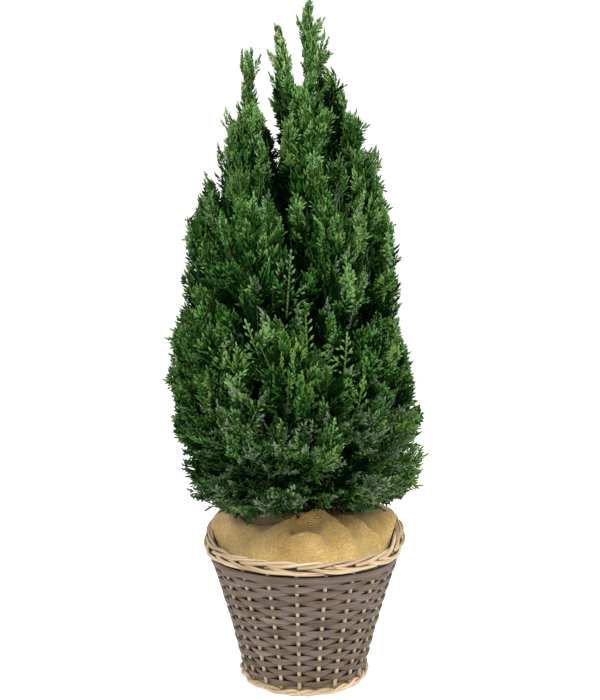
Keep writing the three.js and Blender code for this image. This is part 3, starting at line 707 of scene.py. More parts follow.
def swept(line, reference, section, closed=False):
    """A section carried along a line, its first axis kept near reference. Open ends are closed by a fan."""
    line = np.asarray(line, float)
    if closed:
        along = unit(np.roll(line, -1, 0) - np.roll(line, 1, 0))
    else:
        along = unit(np.gradient(line, axis=0))
    reference = np.broadcast_to(np.asarray(reference, float), line.shape)
    first = rows_square_to(reference, along)
    second = np.cross(along, first)
    section = np.broadcast_to(section, (len(line), *np.shape(section)[-2:]))
    rings = line[:, None] + first[:, None] * section[..., :1] + second[:, None] * section[..., 1:]
    rows, sides = rings.shape[:2]
    points = rings.reshape(-1, 3)
    triangles = grid_triangles(rows, sides, closed, True)
    if closed:
        return points, triangles
    near, far = len(points), len(points) + 1
    j = np.arange(sides)
    ahead = (j + 1) % sides
    last = (rows - 1) * sides
    caps = np.concatenate([
        np.stack([np.full(sides, near), ahead, j], -1),
        np.stack([np.full(sides, far), last + j, last + ahead], -1),
    ])
    return np.vstack([points, line[:1], line[-1:]]), np.concatenate([triangles, caps])


def swept_map(line, section_points, closed, offset=0.0):
    """The map of a swept shape, in metres: along the line, and round the section."""
    steps = np.linalg.norm(np.diff(line, axis=0), axis=1)
    along = np.concatenate([[0.0], np.cumsum(steps)]) * MM
    section = np.asarray(section_points)
    around = np.concatenate([[0.0], np.cumsum(np.linalg.norm(np.diff(section, axis=0), axis=1))]) * MM
    rows = np.stack(np.broadcast_arrays(along[:, None] + offset, around[None, :] + offset), -1).reshape(-1, 2)
    if closed:
        return rows
    return np.vstack([rows, rows[:1], rows[-1:]])


def polar(radius, angle, height):
    return np.stack(np.broadcast_arrays(radius * np.cos(angle), radius * np.sin(angle), height), -1)


def eased(share):
    share = np.clip(share, 0, 1)
    return share * share * (3 - 2 * share)


def smooth_noise(rng, count, knots):
    """A closed row of random values between -1 and 1 that changes smoothly, through a number of knots."""
    values = rng.uniform(-1, 1, knots)
    place = np.arange(count) * knots / count
    index = place.astype(int)
    blend = eased(place - index)
    return values[index % knots] * (1 - blend) + values[(index + 1) % knots] * blend


# Basket


def wall_radius(height):
    share = np.clip((height - WALL_BOTTOM) / (WALL_TOP - WALL_BOTTOM), 0, None)
    return BASE_RADIUS + (MOUTH_RADIUS - BASE_RADIUS) * share ** WALL_FLARE


def mouth_rise(angle):
    """How much the mouth stands above its height in front."""
    return BACK_RISE * eased((np.sin(angle + RISE_TURN) - RISE_START) / RISE_RUN)


def row_height(row):
    return WALL_BOTTOM + (WALL_TOP - WALL_BOTTOM) * ((row + 0.5) / WEAVE_ROWS) ** ROW_CROWDING


def weave_row(row, rng):
    """One strip, over and under the stakes. It is broad where it passes over one."""
    steps = STAKES * STAKE_STEPS
    angle = full_turn(steps)
    turn = angle - math.pi / 2 + WEAVE_TURN
    beat = np.cos(STAKES / 2 * angle) * (-1 if row % 2 == 0 else 1)
    drawn = 1 + mouth_rise(turn) / (WALL_TOP - WALL_BOTTOM)
    height = row_height(row) + ROW_WANDER * smooth_noise(rng, steps, STAKES)
    height = WALL_BOTTOM + (height - WALL_BOTTOM) * drawn
    dip = np.clip(-beat, 0, 1) ** DIP_SHARPNESS
    swing = WEAVE_SWING * (np.clip(beat, 0, 1) - dip) + STRIP_SLACK * smooth_noise(rng, steps, STAKES)
    radius = wall_radius(np.minimum(height, WALL_TOP)) + WEAVE_MIDDLE + swing
    line = polar(radius, turn, height)
    bulge = np.clip(beat / BELLY_START, 0, 1)
    width = STRIP_WIDTH + STRIP_BELLY * bulge * (2 - bulge) + WIDTH_WANDER * smooth_noise(rng, steps, STAKES)
    width -= DIP_PINCH * dip
    half, thick = (width * drawn)[:, None] / 2, STRIP_THICKNESS / 2
    section = np.stack(np.broadcast_arrays(-STRIP_DEPTH * thick, STRIP_ACROSS * half), -1)
    outward = polar(1.0, turn, 0.0)
    lean = math.atan2(MOUTH_RADIUS - BASE_RADIUS, WALL_TOP - WALL_BOTTOM)
    reference = outward * math.cos(lean) - np.array([0, 0, math.sin(lean)])
    shape = swept(line, reference, section, closed=True)
    uv = swept_map(line, section[0], True, MAP_SHIFTS["row"] * row)
    return add_piece(f"weave_row_{row + 1}", shape, [GREY_WILLOW], "willow_grey", ["basket_wall"], uv=uv)


def stakes(rng):
    shapes, maps = [], []
    section = round_section(WILLOW_SIDES) * STAKE_RADIUS
    for stake in range(STAKES):
        angle = stake * 2 * math.pi / STAKES - math.pi / 2 + WEAVE_TURN
        height = np.linspace(FOOT_HEIGHT, RIM_HEIGHT - STAKE_SINK + mouth_rise(angle), STAKE_POINTS)
        sway = STAKE_SWAY * np.sin(height / STAKE_WAVE + rng.uniform(*PHASES))
        line = polar(wall_radius(np.minimum(height, WALL_TOP)) + WEAVE_MIDDLE + sway, angle, height)
        shapes.append(swept(line, polar(1.0, angle, 0.0), section))
        maps.append(swept_map(line, section, False, MAP_SHIFTS["stake"] * stake))
    add_piece("stakes", joined(shapes), [STAKE_WILLOW], "willow_pale", uv=np.vstack(maps))


def border_rod(family, first, rng):
    """One rod of the border, from where it starts until it is lost under its neighbours.

    An upper rod starts with a cut end on top and draws in to the inner edge. A lower one comes out from under
    those and draws out to the outer edge.
    """
    steps = np.linspace(0, BORDER_SPAN, BORDER_STEPS)
    start, drawn, top, draw_by, rise_by = BORDER_ROUTES[family]
    stray, stray_up = BORDER_STRAY
    spread = start + (drawn - start) * eased(steps / draw_by) + rng.uniform(-stray, stray)
    lift = -BORDER_SINK + (top + BORDER_SINK) * eased((steps + 0.01) / rise_by if rise_by else steps + 1)
    sunk = eased((steps - BORDER_TOP_SPAN) / (BORDER_SPAN - BORDER_TOP_SPAN))
    spread = spread * (1 - BORDER_GATHER * sunk)
    lift = lift + (-BORDER_SINK - lift) * sunk
    lift = lift + rng.uniform(-stray_up, stray_up)
    angle = first + steps * 2 * math.pi / STAKES
    radius = RIM_RADIUS + spread * math.cos(RIM_TILT) + lift * math.sin(RIM_TILT)
    height = RIM_HEIGHT - spread * math.sin(RIM_TILT) + lift * math.cos(RIM_TILT)
    line = polar(radius, angle, height + mouth_rise(angle))
    girth = RIM_ROD * rng.uniform(*ROD_GIRTHS)
    girth = girth * (1 + ROD_WAVE * np.sin(steps * ROD_WAVES + rng.uniform(*PHASES)))
    girth = girth * (1 - ROD_TAPER * sunk)
    section = round_section(ROD_SIDES) * girth[:, None, None]
    return swept(line, (0, 0, 1), section), swept_map(line, section[0], False, rng.uniform(*MAP_STARTS))


def rim(rng):
    """The border, laid down rod by rod and shared out over the three strands that it replaces."""
    rods = []
    for stake in range(STAKES):
        for family in range(len(BORDER_ROUTES)):
            place = stake + 0.5 * family + rng.uniform(-BORDER_SHIFT, BORDER_SHIFT)
            rods.append(border_rod(family, place * 2 * math.pi / STAKES + BORDER_TURN, rng))
    for strand in range(RIM_STRANDS):
        own = rods[strand::RIM_STRANDS]
        shape = joined([rod for rod, _ in own])
        uv = np.vstack([rod_map for _, rod_map in own])
        name = f"rim_strand_{strand + 1}"
        add_piece(f"border_{strand + 1}", shape, [PALE_WILLOW], "willow_pale", [name], uv=uv)
    angle = full_turn(RIM_STEPS)
    inward = RIM_RADIUS - RIM_CORE_SINK * math.sin(RIM_TILT)
    line = polar(inward, angle, RIM_HEIGHT - RIM_CORE_SINK * math.cos(RIM_TILT) + mouth_rise(angle))
    across = polar(math.cos(RIM_TILT), angle, -math.sin(RIM_TILT))
    section = round_section(WILLOW_SIDES) * RIM_CORE
    core = swept(line, across, section, closed=True)
    # The core is painted shade under the rods of the border
    add_piece("border_core", core, [CORE_SHADE_WILLOW], "willow_grey", uv=swept_map(line, section, True))


def top_band():
    """The plain broad strip that hides the last row of the weave under the border."""
    angle = full_turn(RIM_STEPS)
    radius = wall_radius(TOP_BAND_HEIGHT) + WEAVE_MIDDLE + WEAVE_SWING + TOP_BAND_PROUD
    line = polar(radius, angle, TOP_BAND_HEIGHT + mouth_rise(angle))
    section = TOP_BAND_SECTION * (STRIP_THICKNESS, TOP_BAND_WIDTH / 2)
    outward = polar(1.0, angle, TOP_BAND_LEAN)
    shape = swept(line, outward, section, closed=True)
    uv = swept_map(line, section, True, MAP_SHIFTS["band"])
    add_piece("top_band", shape, [GREY_WILLOW], "willow_grey", ["basket_wall"], uv=uv)


def foot(rng):
    """Two thin rods twisted round each other under the wall, flat where they stand."""
    shapes, maps = [], []
    angle = full_turn(FOOT_STEPS)
    section = round_section(WILLOW_SIDES) * FOOT_ROD
    across, up = FOOT_TWIST_REACH
    for rod in range(2):
        uneven, aside, above = (smooth_noise(rng, FOOT_STEPS, knots) for knots in FOOT_KNOTS)
        twist = FOOT_TWISTS * angle + rod * math.pi + FOOT_SLIP * uneven
        radius = FOOT_RADIUS + across * np.cos(twist) + FOOT_STRAY * aside
        line = polar(radius, angle, FOOT_HEIGHT + up * np.sin(twist) + FOOT_STRAY * above)
        points, triangles = swept(line, (0, 0, 1), section, closed=True)
        points[:, 2] = np.maximum(points[:, 2], 0)
        shapes.append((points, triangles))
        maps.append(swept_map(line, section, True, MAP_SHIFTS["rod"] * rod))
    add_piece("foot_rods", joined(shapes), [PALE_WILLOW], "willow_pale", ["basket_foot"], uv=np.vstack(maps))


def basket():
    rng = np.random.default_rng(BASKET_SEED)
    for row in range(WEAVE_ROWS):
        weave_row(row, rng)
    stakes(rng)
    top_band()
    rim(rng)
    foot(rng)
    for name, material in (("basket_floor", STAKE_WILLOW), ("soil", SOIL)):
        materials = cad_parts[name].data.materials
        materials.clear()
        materials.append(material)


# Jute cloth

# Folds: the line that each follows across the cloth, with its height at each point, how far it reaches to the
# left and to the right of that line, and how sharp its crest is
FOLDS = [
    dict(line=[(-50, -52, 3), (-20, -43, 9), (12, -34, 15), (24, -35, 15), (38, -45, 12), (50, -54, 10),
               (55, -64, 8), (54, -76, 3)], left=3.4, right=20, sharp=0.5),
    dict(line=[(44, -14, 6), (56, -20, 10), (68, -28, 12), (84, -36, 9)], left=3.2, right=12, sharp=0.7),
    dict(line=[(-12, -55, -7), (14, -47, -7)], left=8, right=8, sharp=0.0),
    dict(line=[(-17, -64, 3), (-16, -54, 5), (-6, -45, 4)], left=5, right=5, sharp=0.8),
    dict(line=[(-14, -67, 3), (2, -63, 4), (16, -65, 3)], left=4, right=6, sharp=0.8),
    dict(line=[(28, -62, -4), (42, -74, -3)], left=8, right=8, sharp=0.0),
    dict(line=[(-90, 34, 6), (-91, 4, 6), (-80, -30, 6)], left=18, right=14, sharp=0.1),
    dict(line=[(-84, -16, 4), (-60, -36, 5)], left=14, right=14, sharp=0.1),
    dict(line=[(-58, -6, -5), (-30, -20, -5)], left=12, right=12, sharp=0.0),
    dict(line=[(82, 36, 5), (92, 8, 5)], left=14, right=14, sharp=0.2),
    dict(line=[(30, 40, 11), (52, 66, 11)], left=13, right=7, sharp=0.5),
    dict(line=[(-6, 30, 12), (-14, 88, 12)], left=7, right=13, sharp=0.6),
    dict(line=[(-36, 24, 9), (-62, 60, 9)], left=11, right=6, sharp=0.6),
    dict(line=[(16, 56, -7), (22, 84, -7)], left=10, right=10, sharp=0.0),
]


def line_distance(x, y, line):
    """Distance from points to a bent line on the ground, positive to the left of it, and its height there."""
    best, best_height = np.full(x.shape, 1e9), np.zeros(x.shape)
    for (x0, y0, h0), (x1, y1, h1) in zip(line, line[1:]):
        dx, dy = x1 - x0, y1 - y0
        share = np.clip(((x - x0) * dx + (y - y0) * dy) / (dx * dx + dy * dy), 0, 1)
        away = np.hypot(x - x0 - share * dx, y - y0 - share * dy)
        nearer = away < np.abs(best)
        away = np.where(dx * (y - y0) - dy * (x - x0) < 0, -away, away)
        best = np.where(nearer, away, best)
        best_height = np.where(nearer, h0 + (h1 - h0) * share, best_height)
    return best, best_height


def fold_height(x, y):
    total = np.zeros(x.shape)
    for fold in FOLDS:
        away, height = line_distance(x, y, fold["line"])
        away = np.abs(away) / np.where(away > 0, fold["left"], fold["right"])
        soft = np.exp(-away * away)
        crisp = np.exp(-CRISP_FALL * away)
        total += height * (soft + (crisp - soft) * fold["sharp"])
    return total


def crease_height(x, y, angle, share):
    """Rays where the cloth is gathered round the trunk, and slow wrinkles all over.

    The numbers are waves by the angle in radians, the share of the way out and the place in millimetres.
    """
    rays = GATHER_CREASES * np.sin(23 * angle + 7 * np.sin(3 * angle) + 5 * share) * (1 - share)
    return rays + FINE_CREASES * np.sin(0.21 * x + 2.2 * np.sin(0.07 * y)) * np.sin(0.17 * y + 0.05 * x)


def jute_cloth():
    """The cloth that hides the soil: gathered round the trunk, in soft folds, tucked in behind the rim."""
    rings, spokes, tuck = CLOTH_GRID
    share = np.linspace(0, 1, rings)[:, None]
    angle = full_turn(spokes)[None, :]
    over = eased((np.sin(angle) - OVER_START) / OVER_RUN)
    outer = CLOTH_OUTER + CLOTH_OVER[0] * over
    edge_height = CLOTH_EDGE + CLOTH_OVER[1] * over + mouth_rise(angle)
    radius = CLOTH_INNER + (outer - CLOTH_INNER) * share
    x, y = radius * np.cos(angle), radius * np.sin(angle)
    mound = edge_height + (CLOTH_EDGE + CLOTH_MOUND - edge_height) * (1 - share ** CLOTH_SHOULDER)
    fade = np.clip((1 - share) / FOLD_FADES[0], 0, 1) * np.clip(share / FOLD_FADES[1], 0, 1)
    creases = crease_height(x, y, angle, share)
    height = mound + (fold_height(x, y) + creases) * fade ** FOLD_FADE_SHAPE
    rows = [np.stack([x, y, height], -1)]
    for step in range(1, tuck + 1):
        turn = step / tuck
        bulge = TUCK_BULGE * math.sin(turn * math.pi / 2) - CLOTH_OVER[0] * over[0] * turn
        edge = polar(outer[0] + bulge, angle[0], edge_height[0] - CLOTH_TUCK * turn)
        rows.append(edge[None])
    points = np.concatenate(rows).reshape(-1, 3)
    triangles = grid_triangles(rings + tuck, spokes, False, True)[:, ::-1]
    flat = points[:, :2] * MM
    made = add_piece("jute_cloth", (points, triangles), [JUTE], "jute", ["jute_cover"], uv=flat)


# Shoots, by the rule of the solids


def rule_numbers(seed):
    state = seed
    while True:
        state = (state * 1664525 + 1013904223) % 2 ** 32
        yield state / 2 ** 32


class Line:
    """A smooth line through points, read by the share of its length."""

    def __init__(self, points):
        points = np.array(points, float)
        ends = np.vstack([2 * points[0] - points[1], points, 2 * points[-1] - points[-2]])
        step = np.linspace(0, 1, LINE_STEPS, endpoint=False)[:, None]
        rows = []
        for p0, p1, p2, p3 in zip(ends, ends[1:], ends[2:], ends[3:]):
            d0, d1, d2 = (math.sqrt(np.linalg.norm(b - a)) for a, b in ((p0, p1), (p1, p2), (p2, p3)))
            t1 = d1 * ((p1 - p0) / d0 - (p2 - p0) / (d0 + d1) + (p2 - p1) / d1)
            t2 = d1 * ((p2 - p1) / d1 - (p3 - p1) / (d1 + d2) + (p3 - p2) / d2)
            rows.append(p1 + t1 * step + (3 * (p2 - p1) - 2 * t1 - t2) * step ** 2
                        + (2 * (p1 - p2) + t1 + t2) * step ** 3)
        self.points = np.vstack([*rows, points[-1:]])
        lengths = np.linalg.norm(np.diff(self.points, axis=0), axis=1)
        self.reach = np.concatenate([[0], np.cumsum(lengths)])
        self.length = self.reach[-1]
        self.knots = self.reach[::LINE_STEPS] / self.length

    def at(self, share):
        place = np.asarray(share, float) * self.length
        return np.stack([np.interp(place, self.reach, self.points[:, axis]) for axis in range(3)], -1)

    def along(self, share):
        share = np.asarray(share, float)
        after, before = np.minimum(share + LINE_NUDGE, 1), np.maximum(share - LINE_NUDGE, 0)
        return unit(self.at(after) - self.at(before))

    def share_at_height(self, height):
        return np.interp(height, self.points[:, 2], self.reach) / self.length

    def at_height(self, height):
        return self.at(self.share_at_height(height))


stem_line = Line(STEM_LINE)
trunk_end = stem_line.share_at_height(TRUNK_TOP)
trunk_line = Line(STEM_LINE[:-2])


def crown_radius(height):
    heights, widths = CROWN_OUTLINE.T
    index = int(np.clip(np.searchsorted(heights, height, side="right"), 1, len(heights) - 1))
    share = (height - heights[index - 1]) / (heights[index] - heights[index - 1])
    p0, p1 = widths[max(index - 2, 0)], widths[index - 1]
    p2, p3 = widths[index], widths[min(index + 1, len(widths) - 1)]
    v0, v1 = (p2 - p0) / 2, (p3 - p1) / 2
    cubic, square = 2 * (p1 - p2) + v0 + v1, 3 * (p2 - p1) - 2 * v0 - v1
    return cubic * share ** 3 + square * share ** 2 + v0 * share + p1


def tier_line(tier, outward, number):
    scatter = (number - 0.5) * TIP_SCATTER
    tip = tier["tip"] + scatter

    def standing(height, out):
        return np.array([CROWN_DRIFT, 0, height]) + outward * out

    return Line([
        stem_line.at_height(tier["root"] + scatter / 5),
        standing(tier["foot"] + scatter / 3, crown_radius(tier["foot"]) * tier["foot_out"]),
        standing(tier["belly"] + scatter / 2, crown_radius(tier["belly"]) - tier["girth"]),
        standing(tip, crown_radius(tip) * tier["tip_out"]),
    ])


FRONT = np.array([0.0, -1.0, 0.0])
UP = np.array([0.0, 0.0, 1.0])


def all_shoots():
    shoots = []
    numbers = rule_numbers(RULE_SEED)
    for tier in TIERS:
        arc = tier.get("arc", 360)
        gaps = tier["count"] - 1 if "arc" in tier else tier["count"]
        for i in range(tier["count"]):
            angle = math.radians(tier["turn"] + arc / gaps * i)
            outward = np.array([math.cos(angle), math.sin(angle), 0])
            line = tier_line(tier, outward, next(numbers))
            shoots.append(dict(
                name=f"{tier['name']}_{i + 1}", line=line, side=np.array([-outward[1], outward[0], 0]),
                outward=outward, girth=tier["girth"], twigs=tier["twigs"], rise=tier.get("rise", PLUME_RISE),
                taper=PLUME_TAPER, foot=line.knots[1], bough=tier["boughs"], tier=tier["name"],
                side_shoots=tier["side_shoots"],
            ))
    leaders = []
    for leader in LEADERS:
        line = Line([stem_line.at_height(leader["root"]), *leader["path"]])
        leaders.append((leader, line, line.knots[leader["foot_point"]], True))
    leaders.append((TALL_LEADER, stem_line, trunk_end, False))
    for leader, line, foot_share, bough in leaders:
        shoots.append(dict(
            name=f"{leader['name']}_leader", line=line, side=FRONT, outward=None, girth=leader["girth"],
            twigs=leader["twigs"], rise=PLUME_RISE, taper=LEADER_TAPER, foot=foot_share, bough=bough,
            tier="leader", side_shoots=leader["side_shoots"],
        ))
    return shoots


def plume_shape(share, rise, taper):
    peak = rise / (rise + taper)
    return share ** rise * (1 - share) ** taper / (peak ** rise * (1 - peak) ** taper)


# Trunk and boughs


def bark_limb(line, start, end, radius_at, side, grid, relief, rng):
    """A limb with the long ridges and furrows of its bark."""
    sides, steps = grid
    share = np.linspace(0, 1, steps)
    turn = full_turn(sides)[None, :]
    twist = BARK_TWIST * share[:, None]
    ridges = np.zeros((steps, sides))
    for waves in BARK_RIDGES:
        phase = rng.uniform(*PHASES)
        sway = np.sin(share[:, None] * rng.uniform(*BARK_DRIFT_WAVES) + rng.uniform(*PHASES))
        drift = phase + BARK_DRIFT * sway
        ridges += np.sin(waves * turn + drift + twist) / len(BARK_RIDGES)
    sway = CRACK_SWAY[0] * np.sin(CRACK_SWAY[1] * turn)
    cracks = CRACK_DEPTH * np.sin(share[:, None] * steps * CRACK_STEP + sway)
    radius = radius_at(share)[:, None] * (1 + relief * (ridges + BARK_CRACKS * cracks))
    section = round_section(sides)[None] * radius[..., None]
    return swept(line.at(start + (end - start) * share), side, section)


def trunk_radius(share):
    flare = ROOT_FLARE * np.exp(-share / ROOT_FLARE_SHARE)
    return TRUNK_RADIUS + (TRUNK_TIP_RADIUS - TRUNK_RADIUS) * share + flare


def trunk_and_boughs(shoots):
    rng = np.random.default_rng(BARK_SEED)
    trunk = bark_limb(stem_line, 0, trunk_end, trunk_radius, FRONT, TRUNK_GRID, TRUNK_RELIEF, rng)
    add_piece("bark_trunk", trunk, [BARK], "bark", ["trunk"])
    for shoot in shoots:
        if not shoot["bough"]:
            continue
        root = LEADER_RADIUS if shoot["outward"] is None else BOUGH_RADIUS

        def radius_at(share, root=root):
            return root + (BOUGH_TIP_RADIUS - root) * share

        line, end = shoot["line"], shoot["foot"]
        limb = bark_limb(line, 0, end, radius_at, shoot["side"], BOUGH_GRID, BOUGH_RELIEF, rng)
        add_piece(f"bark_bough_{shoot['name']}", limb, [BARK], "bark", [f"bough_{shoot['name']}"])


# Foliage


def turned(vector, axis, angle):
    """vector turned about a unit axis."""
    return (vector * math.cos(angle) + np.cross(axis, vector) * math.sin(angle)
            + axis * np.dot(axis, vector) * (1 - math.cos(angle)))


def twig_place(shoot, index, count, rng):
    """Where a twig stands on its shoot: round the stem by the golden angle, upright near the tip."""
    share = (index + 0.5) / (count + 0.5)
    where = shoot["foot"] + (1 - shoot["foot"]) * (TWIG_RANGE[0] + TWIG_RANGE[1] * share)
    along = shoot["line"].along(where)
    across = square_to(shoot["side"], along)
    out = unit(np.cross(across, along))
    if shoot["outward"] is not None and np.dot(out, shoot["outward"]) < 0:
        out = -out
    turn_share = (0.5 + index * GOLDEN_SHARE) % 1
    full = shoot["outward"] is None
    turn = turn_share * 2 * math.pi if full else (turn_share - 0.5) * 2 * PLUME_ARC
    radial = out * math.cos(turn) + across * math.sin(turn)
    wide, narrow = shoot.get("spread", (SPREAD_FOOT, SPREAD_TIP))
    spread = math.radians(wide + (narrow - wide) * share)
    heading = radial * math.sin(spread) + along * math.cos(spread)
    face = turned(square_to(radial, heading), heading, rng.uniform(-FACE_TURN, FACE_TURN))
    girth = shoot["girth"] * max(plume_shape(share, shoot["rise"], shoot["taper"]), LEAST_GIRTH)
    shortest, longest = (ratio * shoot["girth"] for ratio in SPRAY_LENGTH)
    length = float(np.clip(girth / math.sin(spread), shortest, longest))
    return dict(root=shoot["line"].at(where), heading=heading, face=face, rise=square_to(along, heading),
                length=length, share=share, radial=radial, along=along, spread=spread)


def tip_place(shoot):
    """The last twig of a shoot carries its line on to the tip."""
    length = SPRAY_LENGTH[0] * shoot["girth"]
    start = 1 - (length + LEAF_LENGTH) / shoot["line"].length
    root = shoot["line"].at(max(start, 0.0))
    heading = unit(shoot["line"].at(1) - root)
    face, rise = square_to(FRONT, heading), unit(np.cross(heading, (1.0, 0.0, 0.0)))
    return dict(root=root, heading=heading, face=face, rise=rise, length=length, share=1.0)


def twig_count(length):
    return max(int(length / TWIG_STEP), FEWEST_TWIGS)


def side_shoot(shoot, index, rng):
    """An upright shoot on a plume's stem: it leaves as a twig does, then turns up beside the stem."""
    place = twig_place(shoot, index, shoot["side_shoots"], rng)
    length = place["length"] * rng.uniform(*SHOOT_LENGTH)
    root, heading, radial = place["root"], place["heading"], place["radial"]
    bend = place["spread"] * rng.uniform(*SHOOT_BEND)
    free = shoot["outward"] is None
    ceiling = shoot["line"].at(1)[2] - LEADER_CLEAR if free else math.inf
    line, length = upturned(root, heading, place["rise"], bend, length, free, ceiling)
    in_front = heading[1] < YOUNG_FORWARD and YOUNG_HEIGHTS[0] < root[2] < YOUNG_HEIGHTS[1]
    young = in_front and rng.random() < YOUNG_CHANCE
    return dict(
        line=line, side=np.cross(radial, place["along"]), outward=radial, free=free, young=young,
        ceiling=ceiling, girth=SHOOT_GIRTH * shoot["girth"], foot=SHOOT_FOOT, twigs=twig_count(length),
        **SIDE_SHAPE,
    )


def spray_place(shoot, root_height, tip):
    """A single spray from a leader to a tip."""
    root = shoot["line"].at_height(root_height)
    way = np.array(tip, float) - root
    heading = unit(way)
    length = float(np.linalg.norm(way)) - LEAF_LENGTH / 2
    return dict(root=root, heading=heading, face=square_to(FRONT, heading), rise=square_to(UP, heading),
                length=length, share=1.0, fixed=True)


def edge_shoot(shoot, root_height, *points):
    """A small shoot from a limb out to the edge of the crown, through points."""
    root = shoot["line"].at_height(root_height)
    outward = unit(np.array([points[-1][0] - root[0], points[-1][1] - root[1], 0.0]))
    line = Line([root, *points])
    return dict(
        line=line, side=np.array([-outward[1], outward[0], 0]), outward=outward, free=True, girth=EDGE_GIRTH,
        foot=EDGE_FOOT, twigs=twig_count(line.length), **SIDE_SHAPE,
    )


def upturned(root, heading, up, bend, length, free, ceiling=math.inf):
    """A line that leaves along heading and bends up evenly, as long as the crown and the sky allow."""
    arc = bend * np.linspace(0, 1, SHOOT_POINTS)[:, None]
    way = (np.sin(arc) * heading + (1 - np.cos(arc)) * up) / bend
    while length > SHORTEST_SHOOT:
        outer = root + way[SHOOT_POINTS // 2:] * length
        inside = outer[-1, 2] < ceiling and (free or not outside_crown(outer).any())
        if inside and not before_sky(outer).any():
            break
        length *= SHOOT_SHORTER
    return Line(root + way * length), length


def envelope_at(height):
    """Middle and half width of the crown's outline."""
    heights, middles, widths = ENVELOPE.T
    return np.interp(height, heights, middles), np.interp(height, heights, widths)


def crown_depth(points):
    """How far points lie within the outline of the crown."""
    middle, limit = envelope_at(points[..., 2])
    return limit - np.hypot(points[..., 0] - middle, points[..., 1])


def outside_crown(points):
    forward = np.maximum(-points[..., 1], 0)
    over_fold = np.exp(-((points[..., 0] - FOLD_PLACE) / FOLD_WIDTH) ** 2) * eased(forward / FOLD_WIDTH)
    low = points[..., 2] < CROWN_FOOT + FOOT_SLOPE * forward + FOLD_CLEAR * over_fold
    return low | (crown_depth(points) < 0)


def before_sky(points):
    """True for the points that stand before the gaps of sky between the leading shoots."""
    towards = (points - EYE) * (-EYE[1] / (points[..., 1:2] - EYE[1]))
    across, height = towards[..., 0] + EYE[0], towards[..., 2] + EYE[2]
    found = np.zeros(points.shape[:-1], bool)
    for gap in SKY_GAPS:
        places, heights, widths = gap[::-1].T
        near = np.abs(across - np.interp(height, heights, places)) < np.interp(height, heights, widths)
        found |= near & (height > heights[0]) & (height < heights[-1])
    return found


def hides_sky(line):
    return before_sky(line.at(SKY_TESTS)).any()


def trunk_shoots(band, rng):
    """The short shoots of one band of the trunk itself."""
    made = []
    for index in range(band["count"]):
        height = rng.uniform(*band["roots"])
        root = stem_line.at_height(height)
        turn = 2 * math.pi * index * GOLDEN_SHARE
        radial = np.array([math.cos(turn), math.sin(turn), 0])
        spread = math.radians(rng.uniform(*band["spread"]))
        heading = radial * math.sin(spread) + UP * math.cos(spread)
        up = UP * math.sin(spread) - radial * math.cos(spread)
        length = crown_radius(height + TRUNK_SHOOT_LEAD) * rng.uniform(*band["reach"])
        line, length = upturned(root, heading, up, spread * band["bend"], length, False)
        if hides_sky(line):
            continue
        leafy = length * (1 - TRUNK_SHOOT_FOOT)
        made.append(dict(
            line=line, side=np.cross(radial, UP), outward=None, free=False, girth=TRUNK_SHOOT_GIRTH,
            foot=TRUNK_SHOOT_FOOT, twigs=int(leafy / TWIG_STEP), **SIDE_SHAPE,
        ))
    return made


def twig_way(place, bend):
    """The line of a twig that leaves along its heading and bends up, by the share of its length."""
    heading, rise = place["heading"], place["rise"]
    bend = bend if abs(bend) > LEAST_BEND else LEAST_BEND

    def point(s):
        arc = bend * np.asarray(s, float)[..., None]
        return place["root"] + place["length"] / bend * (np.sin(arc) * heading + (1 - np.cos(arc)) * rise)

    return point


